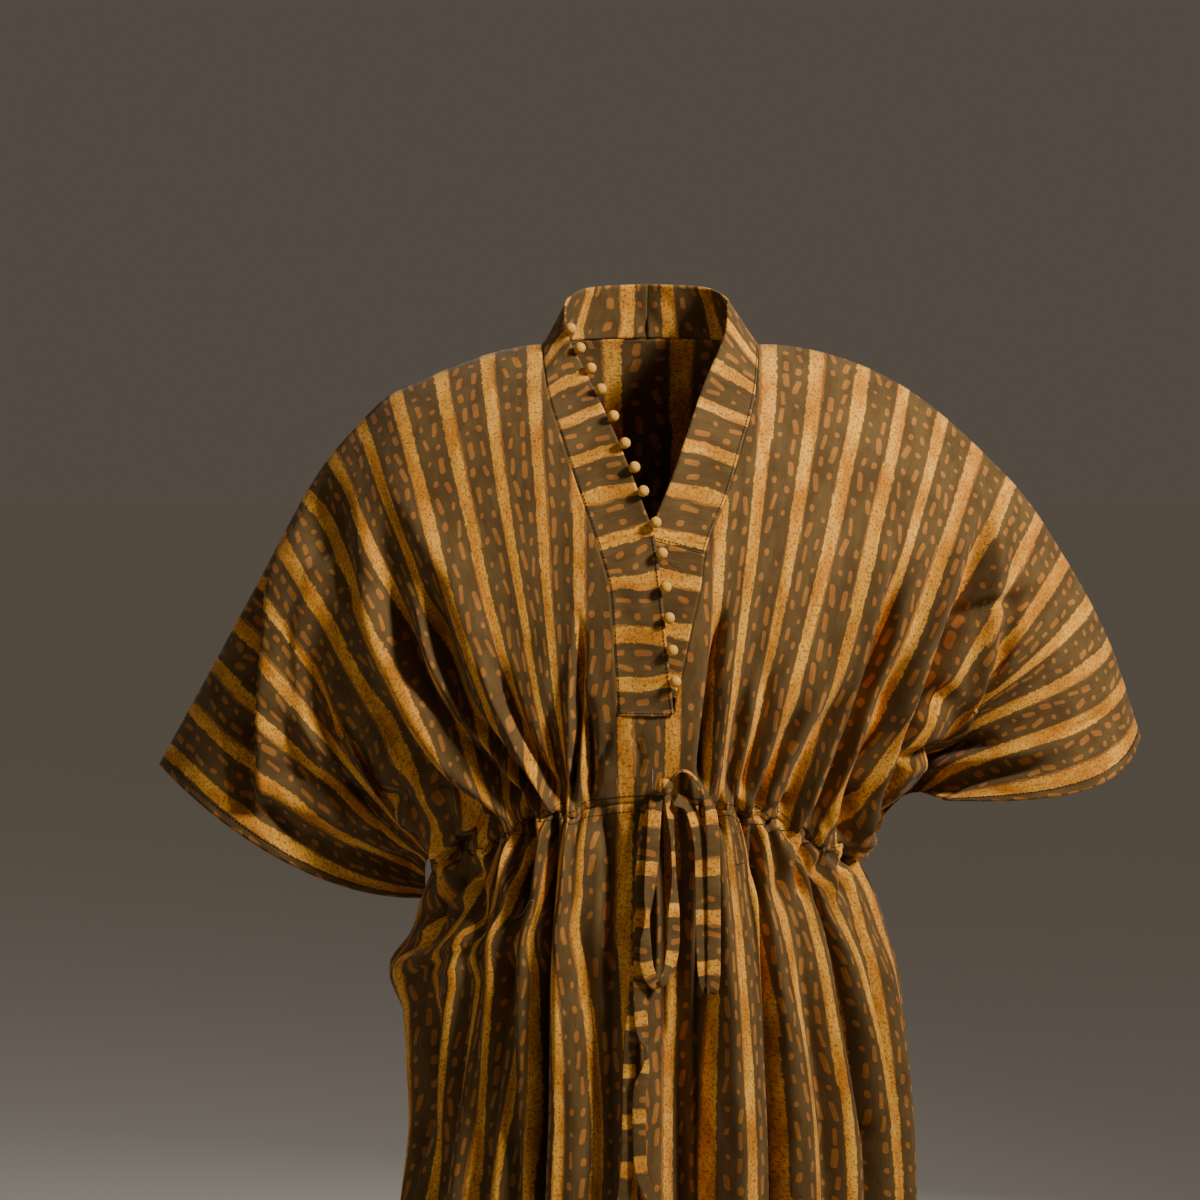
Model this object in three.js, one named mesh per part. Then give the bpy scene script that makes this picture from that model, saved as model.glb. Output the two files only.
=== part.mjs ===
import * as THREE from 'three';
import { mergeVertices } from 'three/addons/utils/BufferGeometryUtils.js';

// A batwing kaftan in block-printed cotton, as it is worn: a V neck with a standing band, a button
// placket, a waist drawn in by a tie, and a long skirt. Millimetres, +Z up, the front faces -Y.
// The origin is the middle of the neck at the height of the shoulders.
//
// Each panel is a flat piece of cloth laid over a plain figure. A place on it is given on the flat
// cloth: `across` from the centre line towards the cuff, and `down` from the shoulder fold. From
// the shoulder fold to the waist each thread is one smooth sweep, and below the waist the cloth
// hangs in rings that widen towards the hem.

const CLOTH = 1.5;
const BAND_CLOTH = 2.0;
const SEAM_GAP = 0.3;

const CUFF_ACROSS = 550;      // flat half width of the cloth, centre line to cuff
const SIDE_ACROSS = 390;      // flat half width of the skirt, centre line to side seam
const CUFF_DOWN = 250;        // flat depth of the sleeve opening
const WAIST_DOWN = 375;       // flat distance from shoulder fold to waist channel
const NECK_ACROSS = 85;       // flat half width of the neck

const MIDDLE_RIGHT = 24;      // flat half widths of the front's middle strip below the placket
const MIDDLE_LEFT = 18;
const WAIST_HALF_WIDTH = 162;
const WAIST_FORE = 114;
const WAIST_AFT = 94;
const WAIST_MID_Y = -2;
const WAIST_FRONT_Z = -344;
const WAIST_SIDE_Z = -405;
const WAIST_BACK_Z = -388;
const HEM_Z = -1262;

const BACK_NECK_Y = 68;
const BACK_NECK_Z = 5;
const BACK_NECK_DROP = 60;

// Rows of the bodice lie between these two shares of its height.
const CUFF_END_ROW = 0.60;    // row at which the sleeve opening ends and the underarm seam begins
const PLACKET_END_ROW = 0.84; // row of the placket's lower seam

// The sweep of the front threads: across, then the place on the shoulder fold (out, y, z), how the
// cloth leaves the fold, and how it rises from the waist or the underarm seam.
const RIGHT_ARM_FRONT = [
  [0, 0, -52, -30, 0, -60, -60, 0, -35, 125],
  [85, 82, 8, 0, 0, -115, -58, 12, -31, 124],
  [200, 193, 4, -35, -18, -103, -60, 39, -33, 110],
  [250, 230, 2, -67, -28, -94, -52, 46, -32, 97],
  [300, 260, 0, -105, -37, -95, -42, 52, -36, 83],
  [390, 304, 1, -185, -39, -97, -30, 52, -40, 61],
  [460, 338, 2, -247, -32, -97, -19, 40, -52, 34],
  [550, 383, 5, -328, -42, -105, -22, 90, -42, 2],
];
const LEFT_ARM_FRONT = [
  [0, 0, -52, -30, 0, -60, -60, 0, -35, 125],
  [85, 86, 8, 0, 0, -115, -58, 12, -31, 124],
  [189, 187, 3, -26, -15, -103, -60, 39, -33, 115],
  [313, 280, -10, -104, -30, -98, -45, 60, -38, 85],
  [390, 324, -18, -167, -32, -98, -35, 45, -40, 74],
  [460, 356, -24, -228, -28, -92, -35, 14, -42, 72],
  [550, 382, -22, -303, -20, -88, -35, 75, -55, 3],
];
// The sweep of the back threads: across, how the cloth leaves the fold, how it rises below.
const BACK_SWEEP = [
  [0, 0, 38, -85, 0, 12, 120],
  [85, 0, 85, -50, 10, 15, 120],
  [200, -15, 80, -50, 35, 20, 105],
  [300, -35, 78, -40, 50, 32, 80],
  [390, -38, 88, -30, 46, 42, 60],
  [460, -32, 92, -20, 38, 54, 34],
  [550, -42, 100, -22, 85, 48, 5],
];
// The underarm seam: across, then where it lies (out, y, z).
const RIGHT_UNDERARM = [
  [390, 162, -2, -405],
  [430, 170.5, 4, -402],
  [480, 175, 12, -410],
  [550, 175, 25, -437],
];
const LEFT_UNDERARM = [
  [390, 162, -2, -405],
  [430, 186, 6, -368],
  [480, 206, -4, -350],
  [550, 229, -50, -349],
];
// The seam of the neck opening seen from the front: length along it, out, z.
const RIGHT_NECK_SEAM = [
  [0, 83, 0],
  [39, 77, -38],
  [75, 66, -72],
  [113, 54, -108],
  [143, 44, -136],
  [175, 34, -167],
  [194, 30, -184],
  [241, 27, -226],
  [300, 24, -276],
];
const LEFT_NECK_SEAM = [
  [0, 86, 0],
  [45, 80, -44],
  [82, 69, -79],
  [118, 58, -114],
  [148, 46, -141],
  [165, 41, -157],
  [190, 38, -181],
  [229, 30, -215],
  [258, 25, -240],
  [286, 19, -263],
  [301, 18, -276],
];
// Skirt rings: share of the way to the hem, half width at the wearer's right, at the left,
// depth in front of the middle, depth behind it.
const SKIRT_RINGS = [
  [0.00, 162, 162, 114, 94],
  [0.03, 176, 178, 119, 99],
  [0.07, 187, 189, 124, 105],
  [0.10, 203, 196, 127, 110],
  [0.135, 190, 198, 130, 113],
  [0.24, 180, 202, 134, 118],
  [0.35, 190, 206, 137, 122],
  [1.00, 212, 222, 150, 140],
];

// How the front is drawn in: flat across from the centre line, and the share of the way round
// the waist to the side seam. The gathers crowd beside the placket and open towards the sides.
const RIGHT_DRAW = [
  [0, 0], [42, 0.185], [55.5, 0.22], [92.5, 0.28], [129.5, 0.316], [166.5, 0.362],
  [203.5, 0.425], [240.5, 0.465], [277.5, 0.505], [314.5, 0.592], [351.5, 0.785], [390, 1],
];
const LEFT_DRAW = [
  [0, 0], [42, 0.165], [55.5, 0.193], [92.5, 0.242], [129.5, 0.305], [166.5, 0.378],
  [203.5, 0.485], [240.5, 0.55], [277.5, 0.605], [314.5, 0.687], [351.5, 0.82], [390, 1],
];

// Where the gathers of the waist channel crest, as shares of the way from the placket to the side.
const FRONT_RIGHT_GATHERS = [0, 0.09, 0.165, 0.345, 0.50, 0.70, 0.825, 0.92, 1];
const FRONT_LEFT_GATHERS = [0, 0.14, 0.32, 0.44, 0.64, 0.817, 0.92, 1];
const BACK_GATHERS = [0, 0.11, 0.21, 0.32, 0.43, 0.55, 0.66, 0.78, 0.90, 1];
// Where the folds of the skirt crest on the flat cloth.
const FRONT_FOLDS = [-415, -350, -290, -215, -155, -80, -22, 90, 150, 210, 275, 340, 405];
const BACK_FOLDS = [-420, -345, -265, -190, -110, -35, 45, 120, 200, 280, 350, 420];

const BODICE_ROWS = [0, 0.07, 0.15, 0.24, 0.33, 0.40, 0.46, 0.53, 0.60, 0.68, 0.76, 0.84, 0.90, 0.95, 0.98];
const FINE_FROM_ROW = 0.76;
const SKIRT_ROWS = [0, 0.012, 0.03, 0.06, 0.10, 0.15, 0.22, 0.31, 0.42, 0.55, 0.70, 0.85, 1];
const FINE_TO_SHARE = 0.08;

// --- small helpers -------------------------------------------------------------------------------

const mix = (a, b, f) => a + (b - a) * f;
const mixAll = (a, b, f) => a.map((value, i) => mix(value, b[i], f));
const clamp = (value, low, high) => Math.min(high, Math.max(low, value));

function ease(low, high, value) {
  const f = clamp((value - low) / (high - low), 0, 1);
  return f * f * (3 - 2 * f);
}

// A smooth curve through the rows of a table: the first column is the key, the rest is read out.
function through(rows) {
  const last = rows.length - 1;
  const slope = (i, k) => {
    const before = rows[Math.max(0, i - 1)];
    const after = rows[Math.min(last, i + 1)];
    return (after[k] - before[k]) / (after[0] - before[0]);
  };
  return (key) => {
    let i = 0;
    while (i < last - 1 && key > rows[i + 1][0]) i += 1;
    const span = rows[i + 1][0] - rows[i][0];
    const f = clamp((key - rows[i][0]) / span, 0, 1);
    const a = 2 * f ** 3 - 3 * f ** 2 + 1;
    const b = f ** 3 - 2 * f ** 2 + f;
    const c = f ** 3 - f ** 2;
    return rows[i].slice(1).map((start, n) => {
      const end = rows[i + 1][n + 1];
      return a * start + (1 - a) * end + span * (b * slope(i, n + 1) + c * slope(i + 1, n + 1));
    });
  };
}

// A count that reaches a whole number at each crest and runs evenly between them.
function countCrests(crests) {
  return (place) => {
    let i = 0;
    while (i < crests.length - 2 && place > crests[i + 1]) i += 1;
    return i + (place - crests[i]) / (crests[i + 1] - crests[i]);
  };
}

// Round crests with narrow valleys between them: 1 on a crest, -1 at the bottom of a valley.
const VALLEY_SOFTNESS = 0.02;
function fold(count) {
  return 2 * Math.sqrt(Math.cos(Math.PI * count) ** 2 + VALLEY_SOFTNESS) - 1;
}

// The turn around a quarter of an ellipse at which a given length of it has passed.
const QUARTER_STEPS = 48;
function quarterTurn(halfWidth, depth) {
  const lengths = [0];
  for (let i = 1; i <= QUARTER_STEPS; i += 1) {
    const middle = ((i - 0.5) / QUARTER_STEPS) * (Math.PI / 2);
    const step = Math.hypot(halfWidth * Math.cos(middle), depth * Math.sin(middle));
    lengths.push(lengths[i - 1] + (step * Math.PI) / 2 / QUARTER_STEPS);
  }
  const whole = lengths[QUARTER_STEPS];
  const turn = (length) => {
    let i = 0;
    while (i < QUARTER_STEPS - 1 && length > lengths[i + 1]) i += 1;
    const f = (length - lengths[i]) / (lengths[i + 1] - lengths[i]);
    return ((i + f) / QUARTER_STEPS) * (Math.PI / 2);
  };
  return { whole, turn };
}

// --- the worn cloth ------------------------------------------------------------------------------

const frontSweep = { '-1': through(RIGHT_ARM_FRONT), 1: through(LEFT_ARM_FRONT) };
const backSweep = through(BACK_SWEEP);
const underarm = { '-1': through(RIGHT_UNDERARM), 1: through(LEFT_UNDERARM) };
const neckSeam = { '-1': through(RIGHT_NECK_SEAM), 1: through(LEFT_NECK_SEAM) };
const neckSeamLength = { '-1': 300, 1: 301 };
const skirtRing = through(SKIRT_RINGS);
const frontDraw = { '-1': through(RIGHT_DRAW), 1: through(LEFT_DRAW) };
const waistQuarter = {
  front: quarterTurn(WAIST_HALF_WIDTH, WAIST_FORE),
  back: quarterTurn(WAIST_HALF_WIDTH, WAIST_AFT),
};

// The turn around the waist of a place on the flat cloth: even in the back, by table in front.
function waistTurn(face, side, across) {
  const quarter = waistQuarter[face];
  const share = face === 'front' ? frontDraw[side](across)[0] : across / SIDE_ACROSS;
  return quarter.turn(Math.min(share, 1) * quarter.whole);
}

function waistHeight(face, turn) {
  const middle = face === 'front' ? WAIST_FRONT_Z : WAIST_BACK_Z;
  return mix(middle, WAIST_SIDE_Z, Math.sin(turn) ** 2);
}

// Where a thread ends: on the waist channel, or past the side seam on the underarm seam.
function threadFoot(face, side, across) {
  if (across > SIDE_ACROSS) return underarm[side](across);
  const turn = waistTurn(face, side, across);
  const depth = face === 'front' ? -WAIST_FORE : WAIST_AFT;
  const y = WAIST_MID_Y + depth * Math.cos(turn);
  return [WAIST_HALF_WIDTH * Math.sin(turn), y, waistHeight(face, turn)];
}

function flatEnd(across) {
  const past = Math.max(0, across - SIDE_ACROSS) / (CUFF_ACROSS - SIDE_ACROSS);
  return mix(WAIST_DOWN, CUFF_DOWN, past);
}

function backNeck(across, neckOut) {
  const turn = (across / NECK_ACROSS) * (Math.PI / 2);
  const y = mix(8, BACK_NECK_Y, Math.cos(turn));
  return [neckOut * Math.sin(turn), y, BACK_NECK_Z * Math.cos(turn)];
}

function backNeckDown(across) {
  if (across >= NECK_ACROSS) return 0;
  return BACK_NECK_DROP * Math.cos((across / NECK_ACROSS) * (Math.PI / 2));
}

function bezier(start, leave, arrive, end, f) {
  const g = 1 - f;
  return start.map((value, i) => g ** 3 * value + 3 * g * g * f * leave[i]
    + 3 * g * f * f * arrive[i] + f ** 3 * end[i]);
}

const add = (a, b) => a.map((value, i) => value + b[i]);

// A place on the bodice or a sleeve, without folds.
function bodice(face, signedAcross, down) {
  const side = signedAcross < 0 ? -1 : 1;
  const across = Math.abs(signedAcross);
  const row = frontSweep[side](across);
  let start = row.slice(0, 3);
  let over = row.slice(3, 6);
  let rise = row.slice(6, 9);
  let startDown = 0;
  if (face === 'back') {
    const sweep = backSweep(across);
    over = sweep.slice(0, 3);
    rise = sweep.slice(3, 6);
    if (across < NECK_ACROSS) {
      start = backNeck(across, frontSweep[side](NECK_ACROSS)[0]);
      startDown = backNeckDown(across);
    }
  }
  const end = threadFoot(face, side, across);
  const f = (down - startDown) / (flatEnd(across) - startDown);
  const place = bezier(start, add(start, over), add(end, rise), end, f);
  return [side * place[0], place[1], place[2]];
}

// A place on the skirt, without folds. `share` runs from the waist to the hem.
function skirt(face, signedAcross, share) {
  const side = signedAcross < 0 ? -1 : 1;
  const across = Math.abs(signedAcross);
  const [rightWidth, leftWidth, fore, aft] = skirtRing(share);
  const width = side < 0 ? rightWidth : leftWidth;
  const depth = face === 'front' ? fore : aft;
  const waist = waistTurn(face, side, across);
  const even = (across / SIDE_ACROSS) * (Math.PI / 2);
  const turn = mix(waist, even, ease(0, 0.3, share));
  const way = face === 'front' ? -1 : 1;
  const z = mix(waistHeight(face, waist), HEM_Z, share);
  return [side * width * Math.sin(turn), WAIST_MID_Y + way * depth * Math.cos(turn), z];
}

// The flat place of a point of the front panel seen from the front at (x, z).
const SEARCH_STEPS = 12;
const SEARCH_NUDGE = 0.5;
const SLOPE_OF_CHEST = 30;    // about how much longer the cloth is than the drop it covers
function flatPlace(x, z) {
  let across = x;
  let down = SLOPE_OF_CHEST - z;
  const nudge = SEARCH_NUDGE;
  for (let i = 0; i < SEARCH_STEPS; i += 1) {
    const here = bodice('front', across, down);
    const beside = bodice('front', across + nudge, down);
    const below = bodice('front', across, down + nudge);
    const a = (beside[0] - here[0]) / nudge;
    const b = (below[0] - here[0]) / nudge;
    const c = (beside[2] - here[2]) / nudge;
    const d = (below[2] - here[2]) / nudge;
    const missX = x - here[0];
    const missZ = z - here[2];
    const scale = a * d - b * c;
    across += (missX * d - missZ * b) / scale;
    down += (missZ * a - missX * c) / scale;
  }
  return [across, down];
}

// Flat place of the panel's inner edge and outer edge in one row of the bodice.
function innerEdge(face, side, row) {
  const frontInner = side < 0 ? MIDDLE_RIGHT : MIDDLE_LEFT;
  if (face === 'back') return [mix(NECK_ACROSS, frontInner, row), WAIST_DOWN * row];
  if (row === 0) return [NECK_ACROSS, 0];
  const along = neckSeamLength[side] * Math.min(1, row / PLACKET_END_ROW);
  const [out, z] = neckSeam[side](along);
  const [across, down] = flatPlace(side * out, z);
  const rest = Math.max(0, row - PLACKET_END_ROW) / (1 - PLACKET_END_ROW);
  return [mix(Math.abs(across), frontInner, rest), mix(down, WAIST_DOWN, rest)];
}

function outerEdge(row) {
  if (row <= CUFF_END_ROW) return [CUFF_ACROSS, (CUFF_DOWN * row) / CUFF_END_ROW];
  const rest = (row - CUFF_END_ROW) / (1 - CUFF_END_ROW);
  return [mix(CUFF_ACROSS, SIDE_ACROSS, rest), mix(CUFF_DOWN, WAIST_DOWN, rest)];
}

// --- folds ---------------------------------------------------------------------------------------

// Long creases of the bodice: side, face, then the share across and the row at the lower end and
// at the upper end, half width, and height above the plain cloth (a trough is negative).
const CREASES = [
  { side: -1, face: 'front', low: [0.13, 1.00], high: [0.055, 0.60], half: 8, height: 5 },
  { side: -1, face: 'front', low: [0.33, 1.00], high: [0.33, 0.22], half: 20, height: 9 },
  { side: -1, face: 'front', low: [0.42, 1.00], high: [0.46, 0.24], half: 20, height: 8 },
  { side: -1, face: 'front', low: [0.82, 0.86], high: [0.67, 0.42], half: 16, height: 12 },
  { side: -1, face: 'front', low: [0.85, 0.72], high: [0.74, 0.40], half: 14, height: -8 },
  { side: -1, face: 'front', low: [0.92, 0.50], high: [0.57, 0.18], half: 24, height: 6 },
  { side: 1, face: 'front', low: [0.22, 1.00], high: [0.18, 0.45], half: 12, height: 5 },
  { side: 1, face: 'front', low: [0.34, 1.00], high: [0.35, 0.33], half: 18, height: 7 },
  { side: 1, face: 'front', low: [0.52, 1.00], high: [0.49, 0.28], half: 18, height: 7 },
  { side: 1, face: 'front', low: [0.93, 0.94], high: [0.50, 0.12], half: 15, height: 10 },
  { side: 1, face: 'front', low: [0.86, 0.72], high: [0.58, 0.16], half: 13, height: -9 },
  { side: -1, face: 'back', low: [0.30, 1.00], high: [0.28, 0.35], half: 18, height: 7 },
  { side: -1, face: 'back', low: [0.58, 1.00], high: [0.52, 0.30], half: 18, height: 6 },
  { side: -1, face: 'back', low: [0.84, 0.90], high: [0.66, 0.40], half: 16, height: 8 },
  { side: 1, face: 'back', low: [0.24, 1.00], high: [0.26, 0.40], half: 16, height: 6 },
  { side: 1, face: 'back', low: [0.50, 1.00], high: [0.47, 0.30], half: 18, height: 7 },
  { side: 1, face: 'back', low: [0.86, 0.92], high: [0.64, 0.36], half: 16, height: 8 },
];
const CREASE_FADE = 0.12;     // share of the bodice over which a crease starts and ends

const GATHER_HEIGHT = 4.5;
const GATHER_SEAM_HEIGHT = 3.0;
const CHEST_WAVE_HEIGHT = 1.2;
const SKIRT_FOLD_HEIGHT = 10;
// Shares of a row, of the bodice or of the skirt over which folds fade in and out.
const MIDDLE_FADE = 0.08;
const SIDE_FADE = 0.94;
const EDGE_FADE = 0.05;
const GATHERS_FROM = 0.45;
const WAVES_FROM = 0.2;
const WAVES_FULL = 0.6;
const SHOULDER_FADE = 0.1;
const GATHERS_FADE = [0.04, 0.22];
const FOLDS_GROW = [0.03, 0.2];
const SEAM_SWELL = 0.02;

const gathers = {
  front: { '-1': FRONT_RIGHT_GATHERS, 1: FRONT_LEFT_GATHERS },
  back: { '-1': BACK_GATHERS, 1: BACK_GATHERS },
};
const folds = { front: FRONT_FOLDS, back: BACK_FOLDS };
const gatherCount = {
  front: { '-1': countCrests(FRONT_RIGHT_GATHERS), 1: countCrests(FRONT_LEFT_GATHERS) },
  back: { '-1': countCrests(BACK_GATHERS), 1: countCrests(BACK_GATHERS) },
};
const foldCount = { front: countCrests(FRONT_FOLDS), back: countCrests(BACK_FOLDS) };

// `where` counts across a panel: -2 at the wearer's right edge, -1 and 1 at the two sides of the
// middle strip, 2 at the left edge. `row` runs from 0 at the shoulder to 1 at the waist, and on to
// 2 at the hem.
function flatPosition(face, where, row) {
  const side = where < 0 ? -1 : 1;
  const inner = innerEdge(face, side, Math.min(row, 1));
  const share = Math.max(0, Math.abs(where) - 1);
  if (Math.abs(where) <= 1) {
    const right = innerEdge(face, -1, Math.min(row, 1));
    const left = innerEdge(face, 1, Math.min(row, 1));
    return [where * inner[0], mix(right[1], left[1], (where + 1) / 2)];
  }
  const outer = outerEdge(Math.min(row, 1));
  return [side * mix(inner[0], outer[0], share), mix(inner[1], outer[1], share)];
}

function plainPlace(face, where, row) {
  const [across, down] = flatPosition(face, where, row);
  if (row > 1) return skirt(face, across, row - 1);
  const fromNeck = face === 'back' ? backNeckDown(Math.abs(across)) * (1 - row) : 0;
  return bodice(face, across, down + fromNeck);
}

function creaseHeight(face, side, share, row, rowLength) {
  let height = 0;
  for (const crease of CREASES) {
    const [lowShare, lowRow] = crease.low;
    const [highShare, highRow] = crease.high;
    const inRange = row > highRow - CREASE_FADE && row < lowRow + CREASE_FADE;
    if (crease.side === side && crease.face === face && inRange) {
      const f = clamp((row - highRow) / (lowRow - highRow), 0, 1);
      const aside = ((share - mix(highShare, lowShare, f)) * rowLength) / crease.half;
      const starts = ease(highRow - CREASE_FADE, highRow + CREASE_FADE, row);
      const stops = 1 - ease(lowRow - CREASE_FADE, lowRow + CREASE_FADE, row);
      height += crease.height * starts * stops * Math.exp(-aside * aside);
    }
  }
  return height;
}

function foldHeight(face, where, row) {
  const side = where < 0 ? -1 : 1;
  const share = Math.max(0, Math.abs(where) - 1);
  const gather = fold(gatherCount[face][side](share));
  const besideSide = 1 - ease(SIDE_FADE, 1, share);
  const besideMiddle = ease(0, MIDDLE_FADE, share) * besideSide;
  const below = Math.max(0, row - 1);
  if (row <= 1) {
    const waves = CHEST_WAVE_HEIGHT * ease(WAVES_FROM, WAVES_FULL, row);
    const spread = GATHER_SEAM_HEIGHT * ease(GATHERS_FROM, 1, row) + waves;
    const rowLength = outerEdge(row)[0];
    const edges = ease(0, EDGE_FADE, share) * (1 - ease(1 - EDGE_FADE, 1, share));
    const crease = creaseHeight(face, side, share, row, rowLength) * edges;
    return gather * spread * besideMiddle + crease * ease(0, SHOULDER_FADE, row);
  }
  const across = flatPosition(face, where, row)[0];
  const swell = mix(GATHER_SEAM_HEIGHT, GATHER_HEIGHT, ease(0, SEAM_SWELL, below));
  const small = gather * besideMiddle * swell * (1 - ease(...GATHERS_FADE, below));
  const large = fold(foldCount[face](across)) * SKIRT_FOLD_HEIGHT * ease(...FOLDS_GROW, below);
  return small + large * besideSide;
}

const NUDGE = 0.002;
function panelPlace(face, where, row) {
  const here = plainPlace(face, where, row);
  const height = foldHeight(face, where, row);
  if (height === 0) return here;
  const sideways = where > 0 ? -NUDGE : NUDGE;
  const beside = plainPlace(face, where + sideways, row);
  const step = row > 1 || row < NUDGE ? NUDGE : -NUDGE;
  const along = plainPlace(face, where, row + step);
  const u = new THREE.Vector3(...beside).sub(new THREE.Vector3(...here)).multiplyScalar(1 / sideways);
  const v = new THREE.Vector3(...along).sub(new THREE.Vector3(...here)).multiplyScalar(1 / step);
  const out = v.cross(u).normalize().multiplyScalar(face === 'front' ? height : -height);
  return [here[0] + out.x, here[1] + out.y, here[2] + out.z];
}

// --- meshes --------------------------------------------------------------------------------------

// Joins two rows of points, each a list of {key, index} with rising keys, into triangles.
function joinRows(upper, lower, triangles) {
  let i = 0;
  let j = 0;
  while (i < upper.length - 1 || j < lower.length - 1) {
    const nextUpper = i < upper.length - 1 ? upper[i + 1].key : Infinity;
    const nextLower = j < lower.length - 1 ? lower[j + 1].key : Infinity;
    if (nextUpper <= nextLower) {
      triangles.push(upper[i].index, lower[j].index, upper[i + 1].index);
      i += 1;
    } else {
      triangles.push(upper[i].index, lower[j].index, lower[j + 1].index);
      j += 1;
    }
  }
}

// An open sheet from rows of keys: `place(key, row)` gives each point.
function sheetFromRows(rows, place, flip) {
  const points = [];
  const triangles = [];
  let before = null;
  for (const { row, keys } of rows) {
    const line = keys.map((key) => {
      points.push(place(key, row));
      return { key, index: points.length - 1 };
    });
    if (before) joinRows(before, line, triangles);
    before = line;
  }
  if (flip) {
    for (let i = 0; i < triangles.length; i += 3) {
      [triangles[i + 1], triangles[i + 2]] = [triangles[i + 2], triangles[i + 1]];
    }
  }
  return { points, triangles };
}

const keyOf = (point) => point.map((value) => Math.round(value * 200)).join(',');

// Several sheets that share points, welded into one.
function weld(sheets) {
  const points = [];
  const triangles = [];
  const seen = new Map();
  for (const sheet of sheets) {
    const renamed = sheet.points.map((point) => {
      const key = keyOf(point);
      if (!seen.has(key)) {
        seen.set(key, points.length);
        points.push(point);
      }
      return seen.get(key);
    });
    for (let i = 0; i < sheet.triangles.length; i += 3) {
      const corners = [0, 1, 2].map((n) => renamed[sheet.triangles[i + n]]);
      if (new Set(corners).size === 3) triangles.push(...corners);
    }
  }
  return { points: points.map((point) => new THREE.Vector3(...point)), triangles };
}

function pointNormals({ points, triangles }) {
  const normals = points.map(() => new THREE.Vector3());
  for (let i = 0; i < triangles.length; i += 3) {
    const [a, b, c] = [0, 1, 2].map((n) => points[triangles[i + n]]);
    const area = b.clone().sub(a).cross(c.clone().sub(a));
    for (let n = 0; n < 3; n += 1) normals[triangles[i + n]].add(area);
  }
  return normals.map((normal) => normal.normalize());
}

// The edges of an open sheet, each as a pair of points in the order of its triangle.
function openEdges({ triangles }) {
  const edges = new Map();
  for (let i = 0; i < triangles.length; i += 3) {
    for (let n = 0; n < 3; n += 1) {
      const a = triangles[i + n];
      const b = triangles[i + ((n + 1) % 3)];
      edges.set(`${a}-${b}`, [a, b]);
    }
  }
  return [...edges.values()].filter(([a, b]) => !edges.has(`${b}-${a}`));
}

// Which way the sheet lies from each point of its open edge.
function inwardFromEdge(panel) {
  const ways = new Map();
  const { points, triangles } = panel;
  const tangent = new Map();
  for (const [a, b] of openEdges(panel)) {
    const edge = points[b].clone().sub(points[a]).normalize();
    for (const end of [a, b]) tangent.set(end, (tangent.get(end) || new THREE.Vector3()).add(edge));
  }
  for (let i = 0; i < triangles.length; i += 3) {
    const corners = [0, 1, 2].map((n) => triangles[i + n]);
    const middle = corners.reduce((sum, n) => sum.add(points[n]), new THREE.Vector3()).divideScalar(3);
    for (const corner of corners) {
      if (tangent.has(corner)) {
        const way = ways.get(corner) || new THREE.Vector3();
        ways.set(corner, way.add(middle.clone().sub(points[corner])));
      }
    }
  }
  for (const [corner, way] of ways) {
    const along = tangent.get(corner).clone().normalize();
    way.addScaledVector(along, -way.dot(along)).normalize();
  }
  return ways;
}

const MITRE_LIMIT = 0.3;

// Panels that share a seam turn the same way there and stand apart by the seam gap.
function partSeams(panels) {
  const meetings = new Map();
  for (const panel of panels) {
    panel.normals = pointNormals(panel);
    panel.depths = panel.points.map(() => panel.thickness);
    panel.inward = inwardFromEdge(panel);
    for (const index of panel.inward.keys()) {
      const key = keyOf(panel.points[index].toArray());
      if (!meetings.has(key)) meetings.set(key, []);
      meetings.get(key).push({ panel, index });
    }
  }
  for (const meeting of meetings.values()) {
    if (new Set(meeting.map(({ panel }) => panel)).size > 1) {
      const shared = new THREE.Vector3();
      for (const { panel, index } of meeting) shared.add(panel.normals[index]);
      shared.normalize();
      for (const { panel, index } of meeting) {
        const mitre = Math.max(MITRE_LIMIT, shared.dot(panel.normals[index]));
        panel.depths[index] = panel.thickness / mitre;
        panel.normals[index] = shared.clone();
      }
      for (const { panel, index } of meeting) {
        const way = panel.inward.get(index);
        panel.points[index] = panel.points[index].clone().addScaledVector(way, SEAM_GAP / 2);
      }
    }
  }
}

// Gives an open sheet its thickness, inwards from its outer face, and closes its edges.
function closedCloth(panel) {
  const { points, triangles, normals, depths } = panel;
  const count = points.length;
  const inner = points.map((point, i) => point.clone().addScaledVector(normals[i], -depths[i]));
  const all = [...points, ...inner];
  const faces = [...triangles];
  for (let i = 0; i < triangles.length; i += 3) {
    faces.push(triangles[i] + count, triangles[i + 2] + count, triangles[i + 1] + count);
  }
  for (const [a, b] of openEdges(panel)) {
    const higher = points[a].z - points[b].z || points[a].x - points[b].x;
    if (higher > 0) faces.push(b, a, a + count, b, a + count, b + count);
    else faces.push(b, a, b + count, a, a + count, b + count);
  }
  const geometry = new THREE.BufferGeometry();
  const flat = new Float32Array(all.flatMap((point) => point.toArray()));
  geometry.setAttribute('position', new THREE.BufferAttribute(flat, 3));
  geometry.setIndex(faces);
  return geometry;
}

// --- the body panels -----------------------------------------------------------------------------

const SLEEVE_COLUMNS = 16;
const MIDDLE_COLUMNS = 4;
const BAND_NECK_STEPS = 4;
const CREST_STEPS = 4;
const LEAST_COLUMN = 0.4;     // narrowest column beside an edge, in mean columns

function evenly(count, low, high) {
  return Array.from({ length: count + 1 }, (_, i) => mix(low, high, i / count));
}

// Four columns to each fold: its crest, its valley and the two slopes between.
function columnsOnCrests(crests, low, high) {
  const columns = [];
  for (let i = 0; i < crests.length - 1; i += 1) {
    for (let n = 0; n < CREST_STEPS; n += 1) columns.push(mix(crests[i], crests[i + 1], n / CREST_STEPS));
  }
  const step = ((high - low) / columns.length) * LEAST_COLUMN;
  const inside = columns.filter((value) => value > low + step && value < high - step);
  return [low, ...inside, high];
}

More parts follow.
